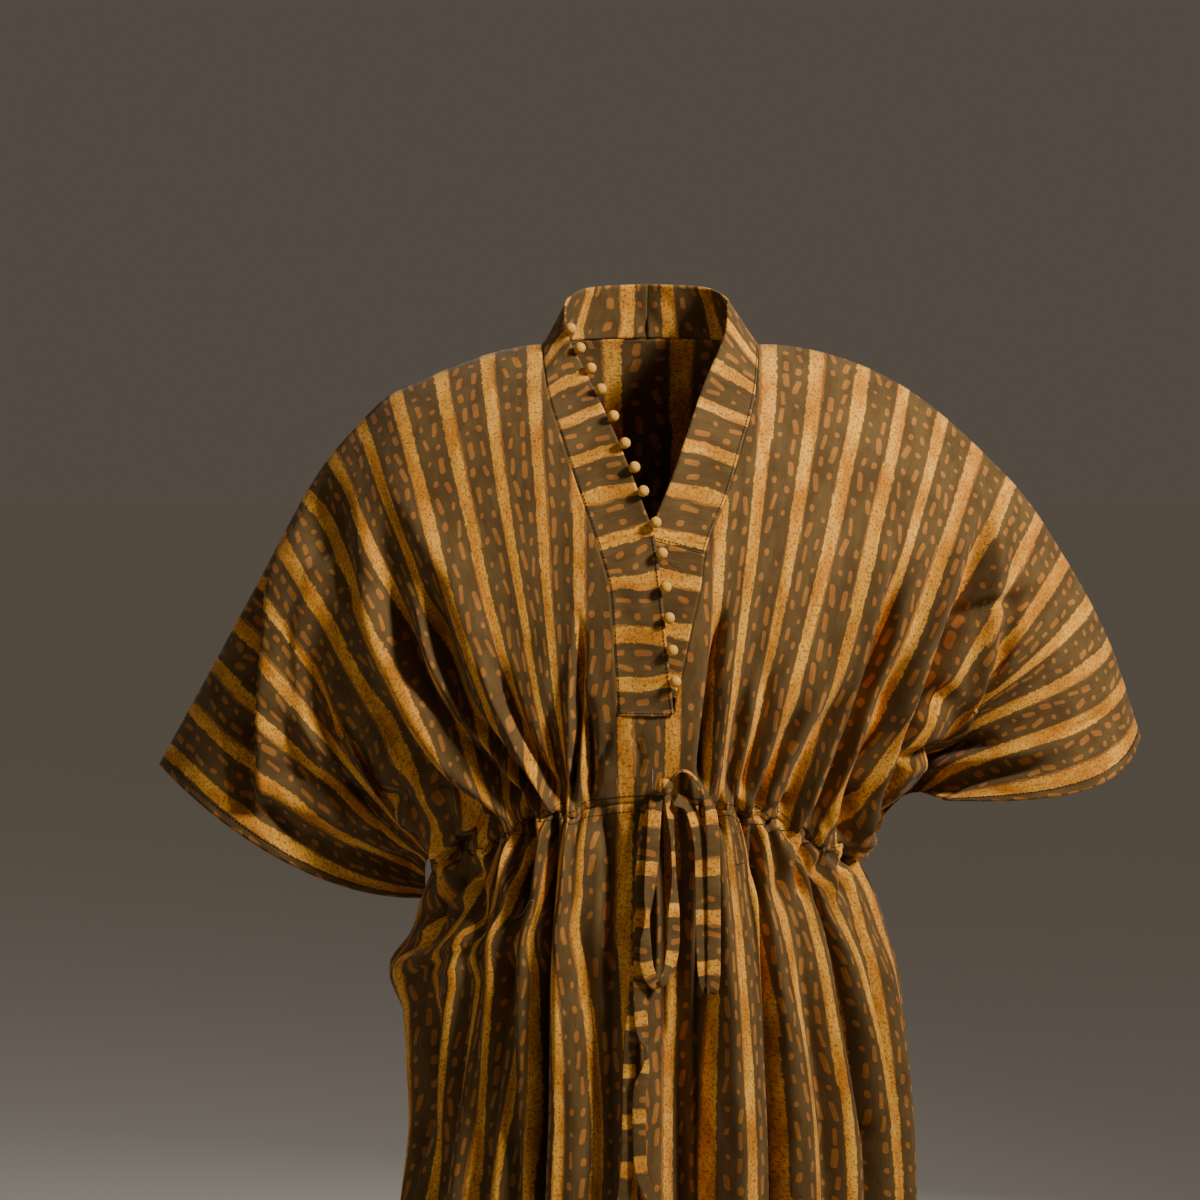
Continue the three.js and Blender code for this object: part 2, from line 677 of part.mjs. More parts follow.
// The shares across one side of the skirt, with columns on its large folds.
function skirtShares(face, side) {
  const inner = innerEdge(face, side, 1)[0];
  const crests = folds[face].map((value) => side * value).sort((a, b) => a - b);
  const across = columnsOnCrests(crests, inner, SIDE_ACROSS);
  return across.map((value) => (value - inner) / (SIDE_ACROSS - inner));
}

function middleColumns(face, row) {
  if (row > 1 + FINE_TO_SHARE) {
    const left = innerEdge(face, 1, 1)[0];
    const right = innerEdge(face, -1, 1)[0];
    const across = columnsOnCrests(folds[face], -right, left);
    return across.map((value) => (value < 0 ? value / right : value / left));
  }
  const isNeck = face === 'back' && row === 0;
  return evenly(isNeck ? 2 * BAND_NECK_STEPS : MIDDLE_COLUMNS, -1, 1);
}

// The columns of one part of a panel: 'right', 'middle' or 'left'.
function columns(face, part, row) {
  if (part === 'middle') return middleColumns(face, row);
  const side = part === 'right' ? -1 : 1;
  let shares = evenly(SLEEVE_COLUMNS, 0, 1);
  if (row > 1 + FINE_TO_SHARE) shares = skirtShares(face, side);
  else if (row >= FINE_FROM_ROW) shares = columnsOnCrests(gathers[face][side], 0, 1);
  return side < 0 ? shares.map((value) => -1 - value).reverse() : shares.map((value) => 1 + value);
}

function bodyPanel(face) {
  const rows = [...BODICE_ROWS, ...SKIRT_ROWS.map((share) => 1 + share)];
  const sheets = ['right', 'middle', 'left'].map((part) => {
    const startsBelowPlacket = face === 'front' && part === 'middle';
    const used = startsBelowPlacket ? rows.filter((row) => row >= PLACKET_END_ROW) : rows;
    const lines = used.map((row) => ({ row, keys: columns(face, part, row) }));
    return sheetFromRows(lines, (where, row) => panelPlace(face, where, row), face === 'back');
  });
  return { ...weld(sheets), thickness: CLOTH };
}

// --- the neck band and placket -------------------------------------------------------------------

// The free edge of each band: length along the seam (counted backwards round the neck), out, y, z.
const RIGHT_BAND_EDGE = [
  [-110, 0, 62, 48],
  [-60, 45, 47, 45],
  [-20, 62, 22, 37],
  [0, 65, 6, 27],
  [20, 61.5, -13, 5],
  [39, 48, -33, -22],
  [75, 29, -73, -61],
  [113, 14, -96, -97],
  [143, 4, -109, -124],
  [165, -3, -115, -143],
  [194, -8, -124.5, -184],
  [241, -12.5, -130.5, -226],
  [300, -17.5, -130.5, -276],
];
const LEFT_BAND_EDGE = [
  [-110, 0, 62, 48],
  [-60, 45, 47, 45],
  [-20, 61, 22, 37],
  [0, 62, 6, 30],
  [20, 59, -12, 8],
  [45, 43, -40, -28],
  [82, 29, -74, -66],
  [118, 16, -94, -102],
  [148, 4, -105, -130],
  [164.8, -1, -109, -146],
];
const BAND_COLUMNS = 4;
const bandEdge = { '-1': through(RIGHT_BAND_EDGE), 1: through(LEFT_BAND_EDGE) };
const NECK_BACK_LENGTH = 110;
const CROSS_SEAM_ROW = 0.46;   // row of the cross seam between the left band and the under placket
const BAND_HOLLOW = 1.2;
const PLACKET_LIFT = 3;        // how far the over placket's free corner stands in front of the panel

function bandPanel(side, endRow, frontRows) {
  const edge = bandEdge[side];
  const seamAt = (station) => (station < 0
    ? panelPlace('back', side * (1 + station), 0)
    : panelPlace('front', side, station));
  const lengthAt = (station) => (station < 0
    ? station * NECK_BACK_LENGTH
    : (neckSeamLength[side] * station) / PLACKET_END_ROW);
  const freeAt = (station) => {
    const [out, y, z] = edge(lengthAt(station));
    return [side * out, y, z];
  };
  const neck = evenly(BAND_NECK_STEPS, -1, 0).slice(0, -1);
  const stations = [...neck, ...frontRows.filter((row) => row <= endRow)];
  const rows = stations.map((station) => ({ row: station, keys: evenly(BAND_COLUMNS, 0, 1) }));
  const place = (share, station) => {
    if (station === PLACKET_END_ROW) {
      const [x, y, z] = panelPlace('front', 1 - 2 * share, station);
      return [x, y - PLACKET_LIFT * (1 - share), z + (share < 1 ? SEAM_GAP : 0)];
    }
    const point = mixAll(freeAt(station), seamAt(station), share);
    const hollow = BAND_HOLLOW * Math.sin(Math.PI * share);
    return [point[0], point[1] + hollow, point[2]];
  };
  return { ...weld([sheetFromRows(rows, place, side < 0)]), thickness: BAND_CLOTH };
}

// The hidden edge of the under placket: row, out, y, z.
const UNDER_PLACKET_EDGE = through([
  [0.46, -1, -109, -146],
  [0.53, -10, -114, -172],
  [0.60, -12, -117.5, -196],
  [0.68, -12, -121, -220],
  [0.76, -12, -122.5, -245],
  [0.80, -12, -122.5, -258],
]);
const UNDER_PLACKET_END_ROW = 0.80;
const PLACKET_CLEAR = 0.45;   // how far its lowest corner stands off the seam

function placketPanel() {
  const isOnSeam = (row) => row >= CROSS_SEAM_ROW && row < UNDER_PLACKET_END_ROW;
  const stations = BODICE_ROWS.filter(isOnSeam);
  const keys = evenly(BAND_COLUMNS, 0, 1);
  const rows = [...stations, UNDER_PLACKET_END_ROW].map((row) => ({ row, keys }));
  const lastRow = stations[stations.length - 1];
  const lastShare = (UNDER_PLACKET_END_ROW - lastRow) / (PLACKET_END_ROW - lastRow);
  const seamAt = (row) => {
    if (row < UNDER_PLACKET_END_ROW) return panelPlace('front', 1, row);
    const above = panelPlace('front', 1, lastRow);
    const end = mixAll(above, panelPlace('front', 1, PLACKET_END_ROW), lastShare);
    return [end[0] - PLACKET_CLEAR, end[1], end[2]];
  };
  const place = (share, row) => {
    const point = mixAll(UNDER_PLACKET_EDGE(row), seamAt(row), share);
    const hollow = BAND_HOLLOW * Math.sin(Math.PI * share);
    return [point[0], point[1] + hollow, point[2]];
  };
  return { ...weld([sheetFromRows(rows, place, false)]), thickness: BAND_CLOTH };
}

// --- buttons -------------------------------------------------------------------------------------

// Lengths along the neck seam at which the buttons stand.
const BUTTON_PLACES = [17, 28, 39, 53, 72, 92, 111, 130, 157, 175, 192, 215, 243, 270];
const BUTTON_RADIUS = 4.4;
const BUTTON_SIDES = 8;
const BUTTON_TILT = 1.1;     // how far the shank leans out of the band's plane
const BUTTON_INSET = 0.5;
const BUTTON_CLEAR = 0.55;    // how far the foot of the shank stands off the band's edge
const SHANK_RADIUS = 1.3;
const BALL_CENTRE = 5.3;      // distance of the ball's middle from the foot of the shank
const BALL_RINGS = 5;
const BALL_LAST_RING = 0.88;  // share of the half turn at which the ball's last ring lies

// A closed solid turned about an axis: rings of {along, radius} between two end points.
function turned(base, axis, rings, sides) {
  const turn = new THREE.Quaternion().setFromUnitVectors(new THREE.Vector3(0, 0, 1), axis);
  const points = [];
  const faces = [];
  const at = (x, y, z) => new THREE.Vector3(x, y, z).applyQuaternion(turn).add(base);
  for (const { along, radius } of rings) {
    for (let i = 0; i < sides; i += 1) {
      const angle = (i / sides) * Math.PI * 2;
      points.push(at(radius * Math.cos(angle), radius * Math.sin(angle), along));
    }
  }
  const first = points.push(at(0, 0, rings[0].along)) - 1;
  const last = points.push(at(0, 0, rings[rings.length - 1].top)) - 1;
  const lastRing = (rings.length - 1) * sides;
  for (let i = 0; i < sides; i += 1) {
    const next = (i + 1) % sides;
    for (let ring = 0; ring < rings.length - 1; ring += 1) {
      const low = ring * sides;
      const high = low + sides;
      faces.push(low + i, low + next, high + next, low + i, high + next, high + i);
    }
    faces.push(first, next, i, last, lastRing + i, lastRing + next);
  }
  return indexed(points, faces);
}

function indexed(points, faces) {
  const geometry = new THREE.BufferGeometry();
  const flat = new Float32Array(points.flatMap((point) => point.toArray()));
  geometry.setAttribute('position', new THREE.BufferAttribute(flat, 3));
  geometry.setIndex(faces);
  return geometry;
}

// The rings of a button from the band outwards: distance along its shank, radius.
function buttonRings() {
  const start = Math.asin(SHANK_RADIUS / BUTTON_RADIUS);
  const rings = [{ along: 0, radius: SHANK_RADIUS }];
  for (let i = 0; i < BALL_RINGS; i += 1) {
    const angle = mix(start, Math.PI * BALL_LAST_RING, i / (BALL_RINGS - 1));
    const along = BALL_CENTRE - BUTTON_RADIUS * Math.cos(angle);
    rings.push({ along, radius: BUTTON_RADIUS * Math.sin(angle), top: BALL_CENTRE + BUTTON_RADIUS });
  }
  return rings;
}

// A button stands on the free edge of the right band, in line with the band's cloth.
function buttonAt(index) {
  const length = BUTTON_PLACES[index];
  const row = (length / neckSeamLength[-1]) * PLACKET_END_ROW;
  const free = (at) => {
    const atRow = (at / neckSeamLength[-1]) * PLACKET_END_ROW;
    const next = BODICE_ROWS.findIndex((value) => value > atRow);
    const [rowBefore, rowAfter] = [BODICE_ROWS[next - 1], BODICE_ROWS[next]];
    const [before, after] = [rowBefore, rowAfter].map((value) => (
      bandEdge[-1]((value / PLACKET_END_ROW) * neckSeamLength[-1])));
    const [out, y, z] = mixAll(before, after, (atRow - rowBefore) / (rowAfter - rowBefore));
    return new THREE.Vector3(-out, y, z);
  };
  const seam = new THREE.Vector3(...panelPlace('front', -1, row));
  const along = free(length + 1).sub(free(length - 1)).normalize();
  const away = free(length).sub(seam).normalize();
  away.addScaledVector(along, -away.dot(along)).normalize();
  const inward = along.clone().cross(away).normalize();
  if (inward.y < 0) inward.negate();
  const base = free(length).addScaledVector(inward, BUTTON_INSET).addScaledVector(away, BUTTON_CLEAR);
  const axis = away.addScaledVector(inward, -BUTTON_TILT).normalize();
  return turned(base.addScaledVector(axis, SEAM_GAP), axis, buttonRings(), BUTTON_SIDES);
}

// --- the waist tie -------------------------------------------------------------------------------

const TIE_WIDTH = 10;
const TIE_THICKNESS = 1.6;
const TIE_CLEAR = 1.5;        // least distance from the skirt's crests
const TIE_STEPS = 3;          // sections between two rows of a path
const KNOT_AT = new THREE.Vector3(11.1, -131.6, -329.2);
const KNOT_RADIUS = 6.4;
const KNOT_HALF_LENGTH = 5.8;
const KNOT_AXIS = new THREE.Vector3(0.6, 0, 0.8);
const KNOT_ROUNDING = 0.8;    // share of the half length at which its end rings lie
const KNOT_SIDES = 10;

// Paths of the ties: x, distance in front of the skirt's crests, z, turn of the strip in degrees
// (0 shows its face to the front).
const TIES = {
  tie_bow_right: [
    [5, 5, -336.5, 20], [3.5, 9, -348.5, 5], [1.5, 11, -380.5, 12], [-1, 13, -409, 45],
    [-2, 14.5, -426, 75], [-3.5, 13, -446.5, 30], [-2, 11, -463.5, 10], [4, 8, -474, 30],
    [12, 5, -469, 40], [16.5, 4, -450.5, 20], [17.5, 3, -426, 30], [17.5, 3, -399.5, 70],
    [16.5, 3, -371.5, 75], [14.5, 2.5, -348.5, 60], [12.5, 1.5, -336, 60],
  ],
  tie_bow_left: [
    [16, 6, -325, 80], [21.5, 6.5, -318.5, 85], [29, 6.5, -319, 88], [37.5, 7.5, -328, 80],
    [43.5, 8, -341, 50], [46.5, 8, -358, 15], [47.5, 8, -399.5, 5], [47.5, 8, -442.5, 0],
    [47, 8, -471, 0], [44.5, 6.5, -480.5, 0], [41, 5, -473, 5], [39, 4, -446.5, 10],
    [38.5, 3.5, -409, 10], [37, 3, -373, 20], [30, 3, -347, 30], [19, 4.5, -339.5, 20],
  ],
  tie_tail_right: [
    [5, 2.5, -337, 20], [-1, 2.5, -360, 10], [-5, 6, -382.5, 5], [-6, 6, -418.5, 5], [-7, 6, -448.5, 0],
    [-8, 5.5, -475.5, 5], [-6.5, 5.5, -505, 10], [-3, 5.5, -523, 80], [-3, 5.5, -537, 60],
    [-8, 5.5, -556, 10], [-8, 5, -594, 5], [-6, 5, -618, 20], [2, 5, -640, 40],
    [7, 5, -672, 20], [7, 5, -717, 5],
  ],
  tie_tail_left: [
    [1.5, -3.9, -341.5, 10], [-4, 0.5, -362, 5], [-7, 2, -409, 0], [-9, 2, -456, 0],
    [-12, 2, -493.5, 5], [-15, 2, -524, 10], [-16, 2, -567, 15], [-17, 2, -608, 10],
    [-20, 2, -640, 10], [-22, 2, -684, 5],
  ],
};

// The y of the skirt's foremost crests at (x, z).
function crestFront(x, z) {
  const share = clamp((WAIST_FRONT_Z - z) / (WAIST_FRONT_Z - HEM_Z), 0, 1);
  const [rightWidth, leftWidth, fore] = skirtRing(share);
  const width = x < 0 ? rightWidth : leftWidth;
  const swell = mix(GATHER_HEIGHT, SKIRT_FOLD_HEIGHT, ease(...FOLDS_GROW, share));
  return WAIST_MID_Y - fore * Math.sqrt(1 - (x / width) ** 2) - swell - TIE_CLEAR;
}

// A flat strip along a path of {centre, side} stations.
function strip(stations) {
  const points = [];
  const faces = [];
  for (let i = 0; i < stations.length; i += 1) {
    const before = stations[Math.max(0, i - 1)].centre;
    const after = stations[Math.min(stations.length - 1, i + 1)].centre;
    const along = after.clone().sub(before).normalize();
    const across = stations[i].side.clone();
    across.addScaledVector(along, -across.dot(along)).normalize();
    const outward = across.clone().cross(along).normalize();
    for (const [a, b] of [[-1, -1], [1, -1], [1, 1], [-1, 1]]) {
      const point = stations[i].centre.clone().addScaledVector(across, (a * TIE_WIDTH) / 2);
      points.push(point.addScaledVector(outward, (b * TIE_THICKNESS) / 2));
    }
  }
  for (let i = 0; i < stations.length - 1; i += 1) {
    for (let n = 0; n < 4; n += 1) {
      const a = i * 4 + n;
      const b = i * 4 + ((n + 1) % 4);
      faces.push(a, b + 4, b, a, a + 4, b + 4);
    }
  }
  const last = (stations.length - 1) * 4;
  faces.push(0, 1, 2, 0, 2, 3, last, last + 2, last + 1, last, last + 3, last + 2);
  return indexed(points, faces);
}

function tieStations(rows) {
  const path = through(rows.map((row, i) => [i, ...row]));
  const stations = [];
  for (let i = 0; i <= (rows.length - 1) * TIE_STEPS; i += 1) {
    const [x, ahead, z, degrees] = path(i / TIE_STEPS);
    const angle = THREE.MathUtils.degToRad(degrees);
    stations.push({
      centre: new THREE.Vector3(x, crestFront(x, z) - ahead, z),
      side: new THREE.Vector3(Math.cos(angle), Math.sin(angle), 0),
    });
  }
  return stations;
}

function knot() {
  const rings = [-KNOT_ROUNDING, 0, KNOT_ROUNDING].map((share) => ({
    along: KNOT_HALF_LENGTH * share,
    radius: KNOT_RADIUS * Math.sqrt(1 - 0.5 * share * share),
    top: KNOT_HALF_LENGTH,
  }));
  return turned(KNOT_AT, KNOT_AXIS, rings, KNOT_SIDES);
}

// --- the finished garment ------------------------------------------------------------------------

const PRINTED_CLOTH = 0x7a5a2c;
const BAND_PRINT = 0x8a6430;
const BUTTON_CLOTH = 0xc89448;

const model = new THREE.Group();
function addPiece(name, geometry, colour) {
  const merged = mergeVertices(geometry, 1e-3);
  const material = new THREE.MeshStandardMaterial({ color: colour, roughness: 0.9, metalness: 0 });
  const mesh = new THREE.Mesh(merged, material);
  mesh.name = name;
  model.add(mesh);
}

const front = bodyPanel('front');
const back = bodyPanel('back');
const bandOver = bandPanel(-1, PLACKET_END_ROW, BODICE_ROWS);
const bandUnder = bandPanel(1, CROSS_SEAM_ROW, BODICE_ROWS);
const placketUnder = placketPanel();
partSeams([front, back, bandOver, bandUnder, placketUnder]);
addPiece('front', closedCloth(front), PRINTED_CLOTH);
addPiece('back', closedCloth(back), PRINTED_CLOTH);
addPiece('band_over', closedCloth(bandOver), BAND_PRINT);
addPiece('band_under', closedCloth(bandUnder), BAND_PRINT);
addPiece('placket_under', closedCloth(placketUnder), BAND_PRINT);
for (let i = 0; i < BUTTON_PLACES.length; i += 1) {
  addPiece(`button_${String(i + 1).padStart(2, '0')}`, buttonAt(i), BUTTON_CLOTH);
}
addPiece('tie_knot', knot(), BAND_PRINT);
for (const [name, rows] of Object.entries(TIES)) addPiece(name, strip(tieStations(rows)), BAND_PRINT);

export default model;
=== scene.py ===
# %% [markdown]
# # A batwing kaftan in block-printed cotton
# The garment is a front and a back, each cut in one with half of both sleeves and sewn
# together under the arms. A tie in a channel draws the waist in. Here every cloth piece is a
# smooth surface computed with numpy: flat cloth coordinates go in, the worn place comes out,
# so the print can follow the cloth for free. All lengths in the tables are millimetres.

# %% Load the frame
import math
import bpy
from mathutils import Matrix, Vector
import numpy as np


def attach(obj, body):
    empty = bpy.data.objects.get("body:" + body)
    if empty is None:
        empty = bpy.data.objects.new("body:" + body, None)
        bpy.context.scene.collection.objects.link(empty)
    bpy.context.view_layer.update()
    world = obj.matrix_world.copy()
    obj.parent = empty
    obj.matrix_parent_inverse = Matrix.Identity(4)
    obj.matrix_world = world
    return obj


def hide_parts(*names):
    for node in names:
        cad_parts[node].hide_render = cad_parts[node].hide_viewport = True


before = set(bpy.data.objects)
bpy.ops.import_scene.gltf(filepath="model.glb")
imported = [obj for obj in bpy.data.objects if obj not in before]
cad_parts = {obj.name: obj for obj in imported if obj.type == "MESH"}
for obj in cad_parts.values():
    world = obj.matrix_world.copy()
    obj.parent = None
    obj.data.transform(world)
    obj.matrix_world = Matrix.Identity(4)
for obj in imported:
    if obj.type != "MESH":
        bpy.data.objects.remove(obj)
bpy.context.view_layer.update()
MM = 0.001

# %% [markdown]
# ## Camera first
# The garment is seen from straight in front, from chest height and slightly above. A long
# lens far away keeps both sleeves in true proportion.

# %% Camera
CAMERA_TARGET = np.array([-37.44, 0.0, -198.9])
CAMERA_DISTANCE = 2800.0
CAMERA_TILT = math.radians(4.0)
CAMERA_LENS = 107.7


def make_camera():
    """Places the camera on a line through the target that falls by CAMERA_TILT."""
    data = bpy.data.cameras.new("camera")
    data.lens = CAMERA_LENS
    data.sensor_width = 36.0
    camera = bpy.data.objects.new("camera", data)
    bpy.context.scene.collection.objects.link(camera)
    back = np.array([0.0, -math.cos(CAMERA_TILT), math.sin(CAMERA_TILT)])
    camera.location = (CAMERA_TARGET + CAMERA_DISTANCE * back) * MM
    camera.rotation_euler = (math.pi / 2 - CAMERA_TILT, 0.0, 0.0)
    bpy.context.scene.camera = camera
    return camera


camera = make_camera()
print("camera at", tuple(round(value, 3) for value in camera.location))

# %% [markdown]
# ## The cut and the figure
# These are the driving sizes of the pattern and of the plain figure under it: how wide the
# cloth is, how far the waist channel lies below the shoulder fold, and how the cloth sweeps
# from the fold to the waist. The camera and these tables decide the whole outline.

# %% Sizes
CUFF_ACROSS = 550
SIDE_ACROSS = 390
CUFF_DOWN = 250
WAIST_DOWN = 375
NECK_ACROSS = 85
MIDDLE_RIGHT = 24
MIDDLE_LEFT = 18
WAIST_HALF_WIDTH = 162
WAIST_FORE = 114
WAIST_AFT = 94
WAIST_MID_Y = -2
WAIST_FRONT_Z = -344
WAIST_SIDE_Z = -405
WAIST_BACK_Z = -388
WAIST_UNEVEN = 5.0
HEM_Z = -1262
BACK_NECK_Y = 68
BACK_NECK_Z = 5
BACK_NECK_DROP = 60
NECK_CORNER_Y = 8
CUFF_END_ROW = 0.62
PLACKET_END_ROW = 0.84
CROSS_SEAM_ROW = 0.46
UNDER_PLACKET_END_ROW = 0.80
print("flat cloth is", 2 * CUFF_ACROSS, "mm wide, skirt", 2 * SIDE_ACROSS, "mm wide")

# %% [markdown]
# ## How the cloth falls from the shoulders
# A batwing sleeve has no armhole: the cloth leaves the shoulder fold, swells over the chest
# or the arm and returns to the waist or the underarm seam. It could be draped by simulation,
# but a short table of sweeps, one row for each thread, keeps the outline exact.

# %% Bodice tables
# across, place on the shoulder fold (out, y, z), how the cloth leaves it, how it rises below
ARM_FRONT = {
    -1: [
        [0, 0, -52, -30, 0, -60, -60, 0, -35, 125],
        [85, 82, 8, 0, 0, -115, -58, 12, -31, 124],
        [200, 193, 4, -35, -18, -103, -60, 39, -33, 110],
        [250, 230, 2, -67, -28, -94, -52, 46, -32, 97],
        [300, 260, 0, -105, -37, -95, -42, 52, -36, 83],
        [390, 304, 1, -185, -39, -97, -30, 52, -40, 61],
        [460, 338, 2, -247, -32, -97, -19, 40, -52, 34],
        [550, 383, 5, -328, -42, -105, -22, 90, -42, 2],
    ],
    1: [
        [0, 0, -52, -30, 0, -60, -60, 0, -35, 125],
        [85, 86, 8, 0, 0, -115, -58, 12, -31, 124],
        [189, 187, 3, -26, -15, -103, -60, 39, -33, 115],
        [313, 280, -10, -104, -30, -98, -45, 60, -38, 85],
        [390, 324, -18, -167, -32, -98, -35, 45, -40, 74],
        [460, 356, -24, -228, -28, -92, -35, 14, -42, 72],
        [550, 382, -22, -303, -20, -88, -35, 75, -55, 3],
    ],
}
BACK_SWEEP = [
    [0, 0, 38, -85, 0, 12, 120],
    [85, 0, 85, -50, 10, 15, 120],
    [200, -15, 80, -50, 35, 20, 105],
    [300, -35, 78, -40, 50, 32, 80],
    [390, -38, 88, -30, 46, 42, 60],
    [460, -32, 92, -20, 38, 54, 34],
    [550, -42, 100, -22, 85, 48, 5],
]
UNDERARM = {
    -1: [[390, 162, -2, -405], [430, 170.5, 4, -402], [480, 175, 12, -410], [550, 175, 25, -437]],
    1: [[390, 162, -2, -405], [430, 186, 6, -368], [480, 206, -4, -350], [550, 229, -50, -349]],
}
print(sum(len(rows) for rows in ARM_FRONT.values()), "front sweeps,", len(BACK_SWEEP), "back sweeps")

# %% [markdown]
# ## Neck seam
# The band is sewn to the body along one long seam, from the shoulder down the V and beside the
# placket. It is measured along its own length, because the band's pieces are cut to it.

# %% Neck seam table
# length along the neck seam, out, z
NECK_SEAM = {
    -1: [
        [0, 83, 0], [39, 77, -38], [75, 66, -72], [113, 54, -108], [143, 44, -136],
        [175, 34, -167], [194, 30, -184], [241, 27, -226], [300, 24, -276],
    ],
    1: [
        [0, 86, 0], [45, 80, -44], [82, 69, -79], [118, 58, -114], [148, 46, -141],
        [165, 41, -157], [190, 38, -181], [229, 30, -215], [258, 25, -240],
        [286, 19, -263], [301, 18, -276],
    ],
}
NECK_SEAM_LENGTH = {-1: 300, 1: 301}
print("neck seams are", NECK_SEAM_LENGTH[-1], "and", NECK_SEAM_LENGTH[1], "mm long")

# %% [markdown]
# ## Gathers at the waist and rings of the skirt
# The tie draws some parts of the front in more than others, so the stripes fan unevenly into
# the channel. One table says how far round the waist each flat place ends up. Another gives
# the skirt as a stack of ellipses, the way a hoop skirt would carry it.

# %% Waist and skirt tables
# flat across from the centre line, share of the way round the waist to the side seam
FRONT_DRAW = {
    -1: [
        [0, 0], [42, 0.185], [55.5, 0.22], [92.5, 0.28], [129.5, 0.316], [166.5, 0.362],
        [203.5, 0.425], [240.5, 0.465], [277.5, 0.505], [314.5, 0.592], [351.5, 0.785], [390, 1],
    ],
    1: [
        [0, 0], [42, 0.165], [55.5, 0.193], [92.5, 0.242], [129.5, 0.305], [166.5, 0.378],
        [203.5, 0.485], [240.5, 0.55], [277.5, 0.605], [314.5, 0.687], [351.5, 0.82], [390, 1],
    ],
}
# share of the way to the hem, half width right and left, depth in front and behind
SKIRT_RINGS = [
    [0.00, 162, 162, 114, 94],
    [0.03, 176, 178, 119, 99],
    [0.07, 187, 189, 124, 105],
    [0.10, 203, 196, 127, 110],
    [0.135, 190, 198, 130, 113],
    [0.24, 180, 202, 134, 118],
    [0.35, 190, 206, 137, 122],
    [1.00, 212, 222, 150, 140],
]
print(len(SKIRT_RINGS), "rings of the skirt, waist to hem")

# %% [markdown]
# ## Reading the tables
# A table is read through a smooth curve, so a handful of rows describes a whole sweep of
# cloth. Every helper takes and returns whole numpy arrays, which keeps the script quick.

# %% Table helpers


def mix(a, b, f):
    """a where f is 0, b where f is 1, a straight blend between."""
    return a + (b - a) * f


def ease(low, high, value):
    """0 below low, 1 above high, and 3f^2 - 2f^3 between, where f is the share of the way."""
    f = np.clip((value - low) / (high - low), 0.0, 1.0)
    return f * f * (3.0 - 2.0 * f)


def unit(vector):
    """The vector divided by its length."""
    return vector / np.linalg.norm(vector, axis=-1, keepdims=True)


def along_lengths(points):
    """Length travelled along a row of points."""
    steps = np.linalg.norm(np.diff(points, axis=0), axis=1)
    return np.concatenate([[0.0], np.cumsum(steps)])


def through(rows):
    """A Hermite curve through the rows: slope at a row = rise between its neighbours / run."""
    table = np.array(rows, dtype=float)
    keys, values = table[:, 0], table[:, 1:]
    before = np.maximum(np.arange(len(keys)) - 1, 0)
    after = np.minimum(np.arange(len(keys)) + 1, len(keys) - 1)
    slopes = (values[after] - values[before]) / (keys[after] - keys[before])[:, None]

    def read(key):
        key = np.asarray(key, dtype=float)
        i = np.clip(np.searchsorted(keys, key) - 1, 0, len(keys) - 2)
        span = keys[i + 1] - keys[i]
        f = np.clip((key - keys[i]) / span, 0.0, 1.0)[..., None]
        a = 2 * f**3 - 3 * f**2 + 1
        bend = (f**3 - 2 * f**2 + f) * slopes[i] + (f**3 - f**2) * slopes[i + 1]
        return a * values[i] + (1 - a) * values[i + 1] + span[..., None] * bend

    return read


def lattice_noise(u, v, seed):
    """Random values on whole (u, v) blended smoothly between; about -1 to 1."""
    values = np.random.default_rng(seed).uniform(-1, 1, (64, 64))
    iu, iv = np.floor(u).astype(int), np.floor(v).astype(int)
    fu, fv = u - iu, v - iv
    fu, fv = fu * fu * (3 - 2 * fu), fv * fv * (3 - 2 * fv)
    near = mix(values[iu % 64, iv % 64], values[(iu + 1) % 64, iv % 64], fu)
    far = mix(values[iu % 64, (iv + 1) % 64], values[(iu + 1) % 64, (iv + 1) % 64], fu)
    return mix(near, far, fv)


def quarter_turn(half_width, depth, steps=48):
    """Cumulative length of a quarter ellipse against its turn, for reading either way."""
    middle = (np.arange(steps) + 0.5) / steps * math.pi / 2
    step = np.hypot(half_width * np.cos(middle), depth * np.sin(middle)) * math.pi / 2 / steps
    return np.concatenate([[0.0], np.cumsum(step)]), np.linspace(0, math.pi / 2, steps + 1)


arm_front = {side: through(rows) for side, rows in ARM_FRONT.items()}
underarm = {side: through(rows) for side, rows in UNDERARM.items()}
neck_seam = {side: through(rows) for side, rows in NECK_SEAM.items()}
back_sweep = through(BACK_SWEEP)
skirt_ring = through(SKIRT_RINGS)
front_draw = {side: through(rows) for side, rows in FRONT_DRAW.items()}
waist_quarter = {
    "front": quarter_turn(WAIST_HALF_WIDTH, WAIST_FORE),
    "back": quarter_turn(WAIST_HALF_WIDTH, WAIST_AFT),
}
print("front waist, seam to middle:", round(waist_quarter["front"][0][-1]), "mm")

# %% [markdown]
# ## The worn cloth without folds
# Each lengthwise thread of the bodice is one Bezier sweep from the shoulder fold to the
# waist, or to the underarm seam for threads past the side seam. Below the waist the threads
# hang in rings. This is the garment's silhouette: folds are added to it afterwards.

# %% Waist


def waist_turn(face, side, across):
    """Angle round the waist ellipse at a share of its quarter's length.

    The share comes from a table in front and grows evenly behind.
    """
    lengths, turns = waist_quarter[face]
    share = front_draw[side](across)[..., 0] if face == "front" else across / SIDE_ACROSS
    return np.interp(share * lengths[-1], lengths, turns)


def waist_height(face, turn):
    """Waist height: blends from the middle's height to the side's by sin(turn) squared."""
    middle = WAIST_FRONT_Z if face == "front" else WAIST_BACK_Z
    return mix(middle, WAIST_SIDE_Z, np.sin(turn) ** 2)


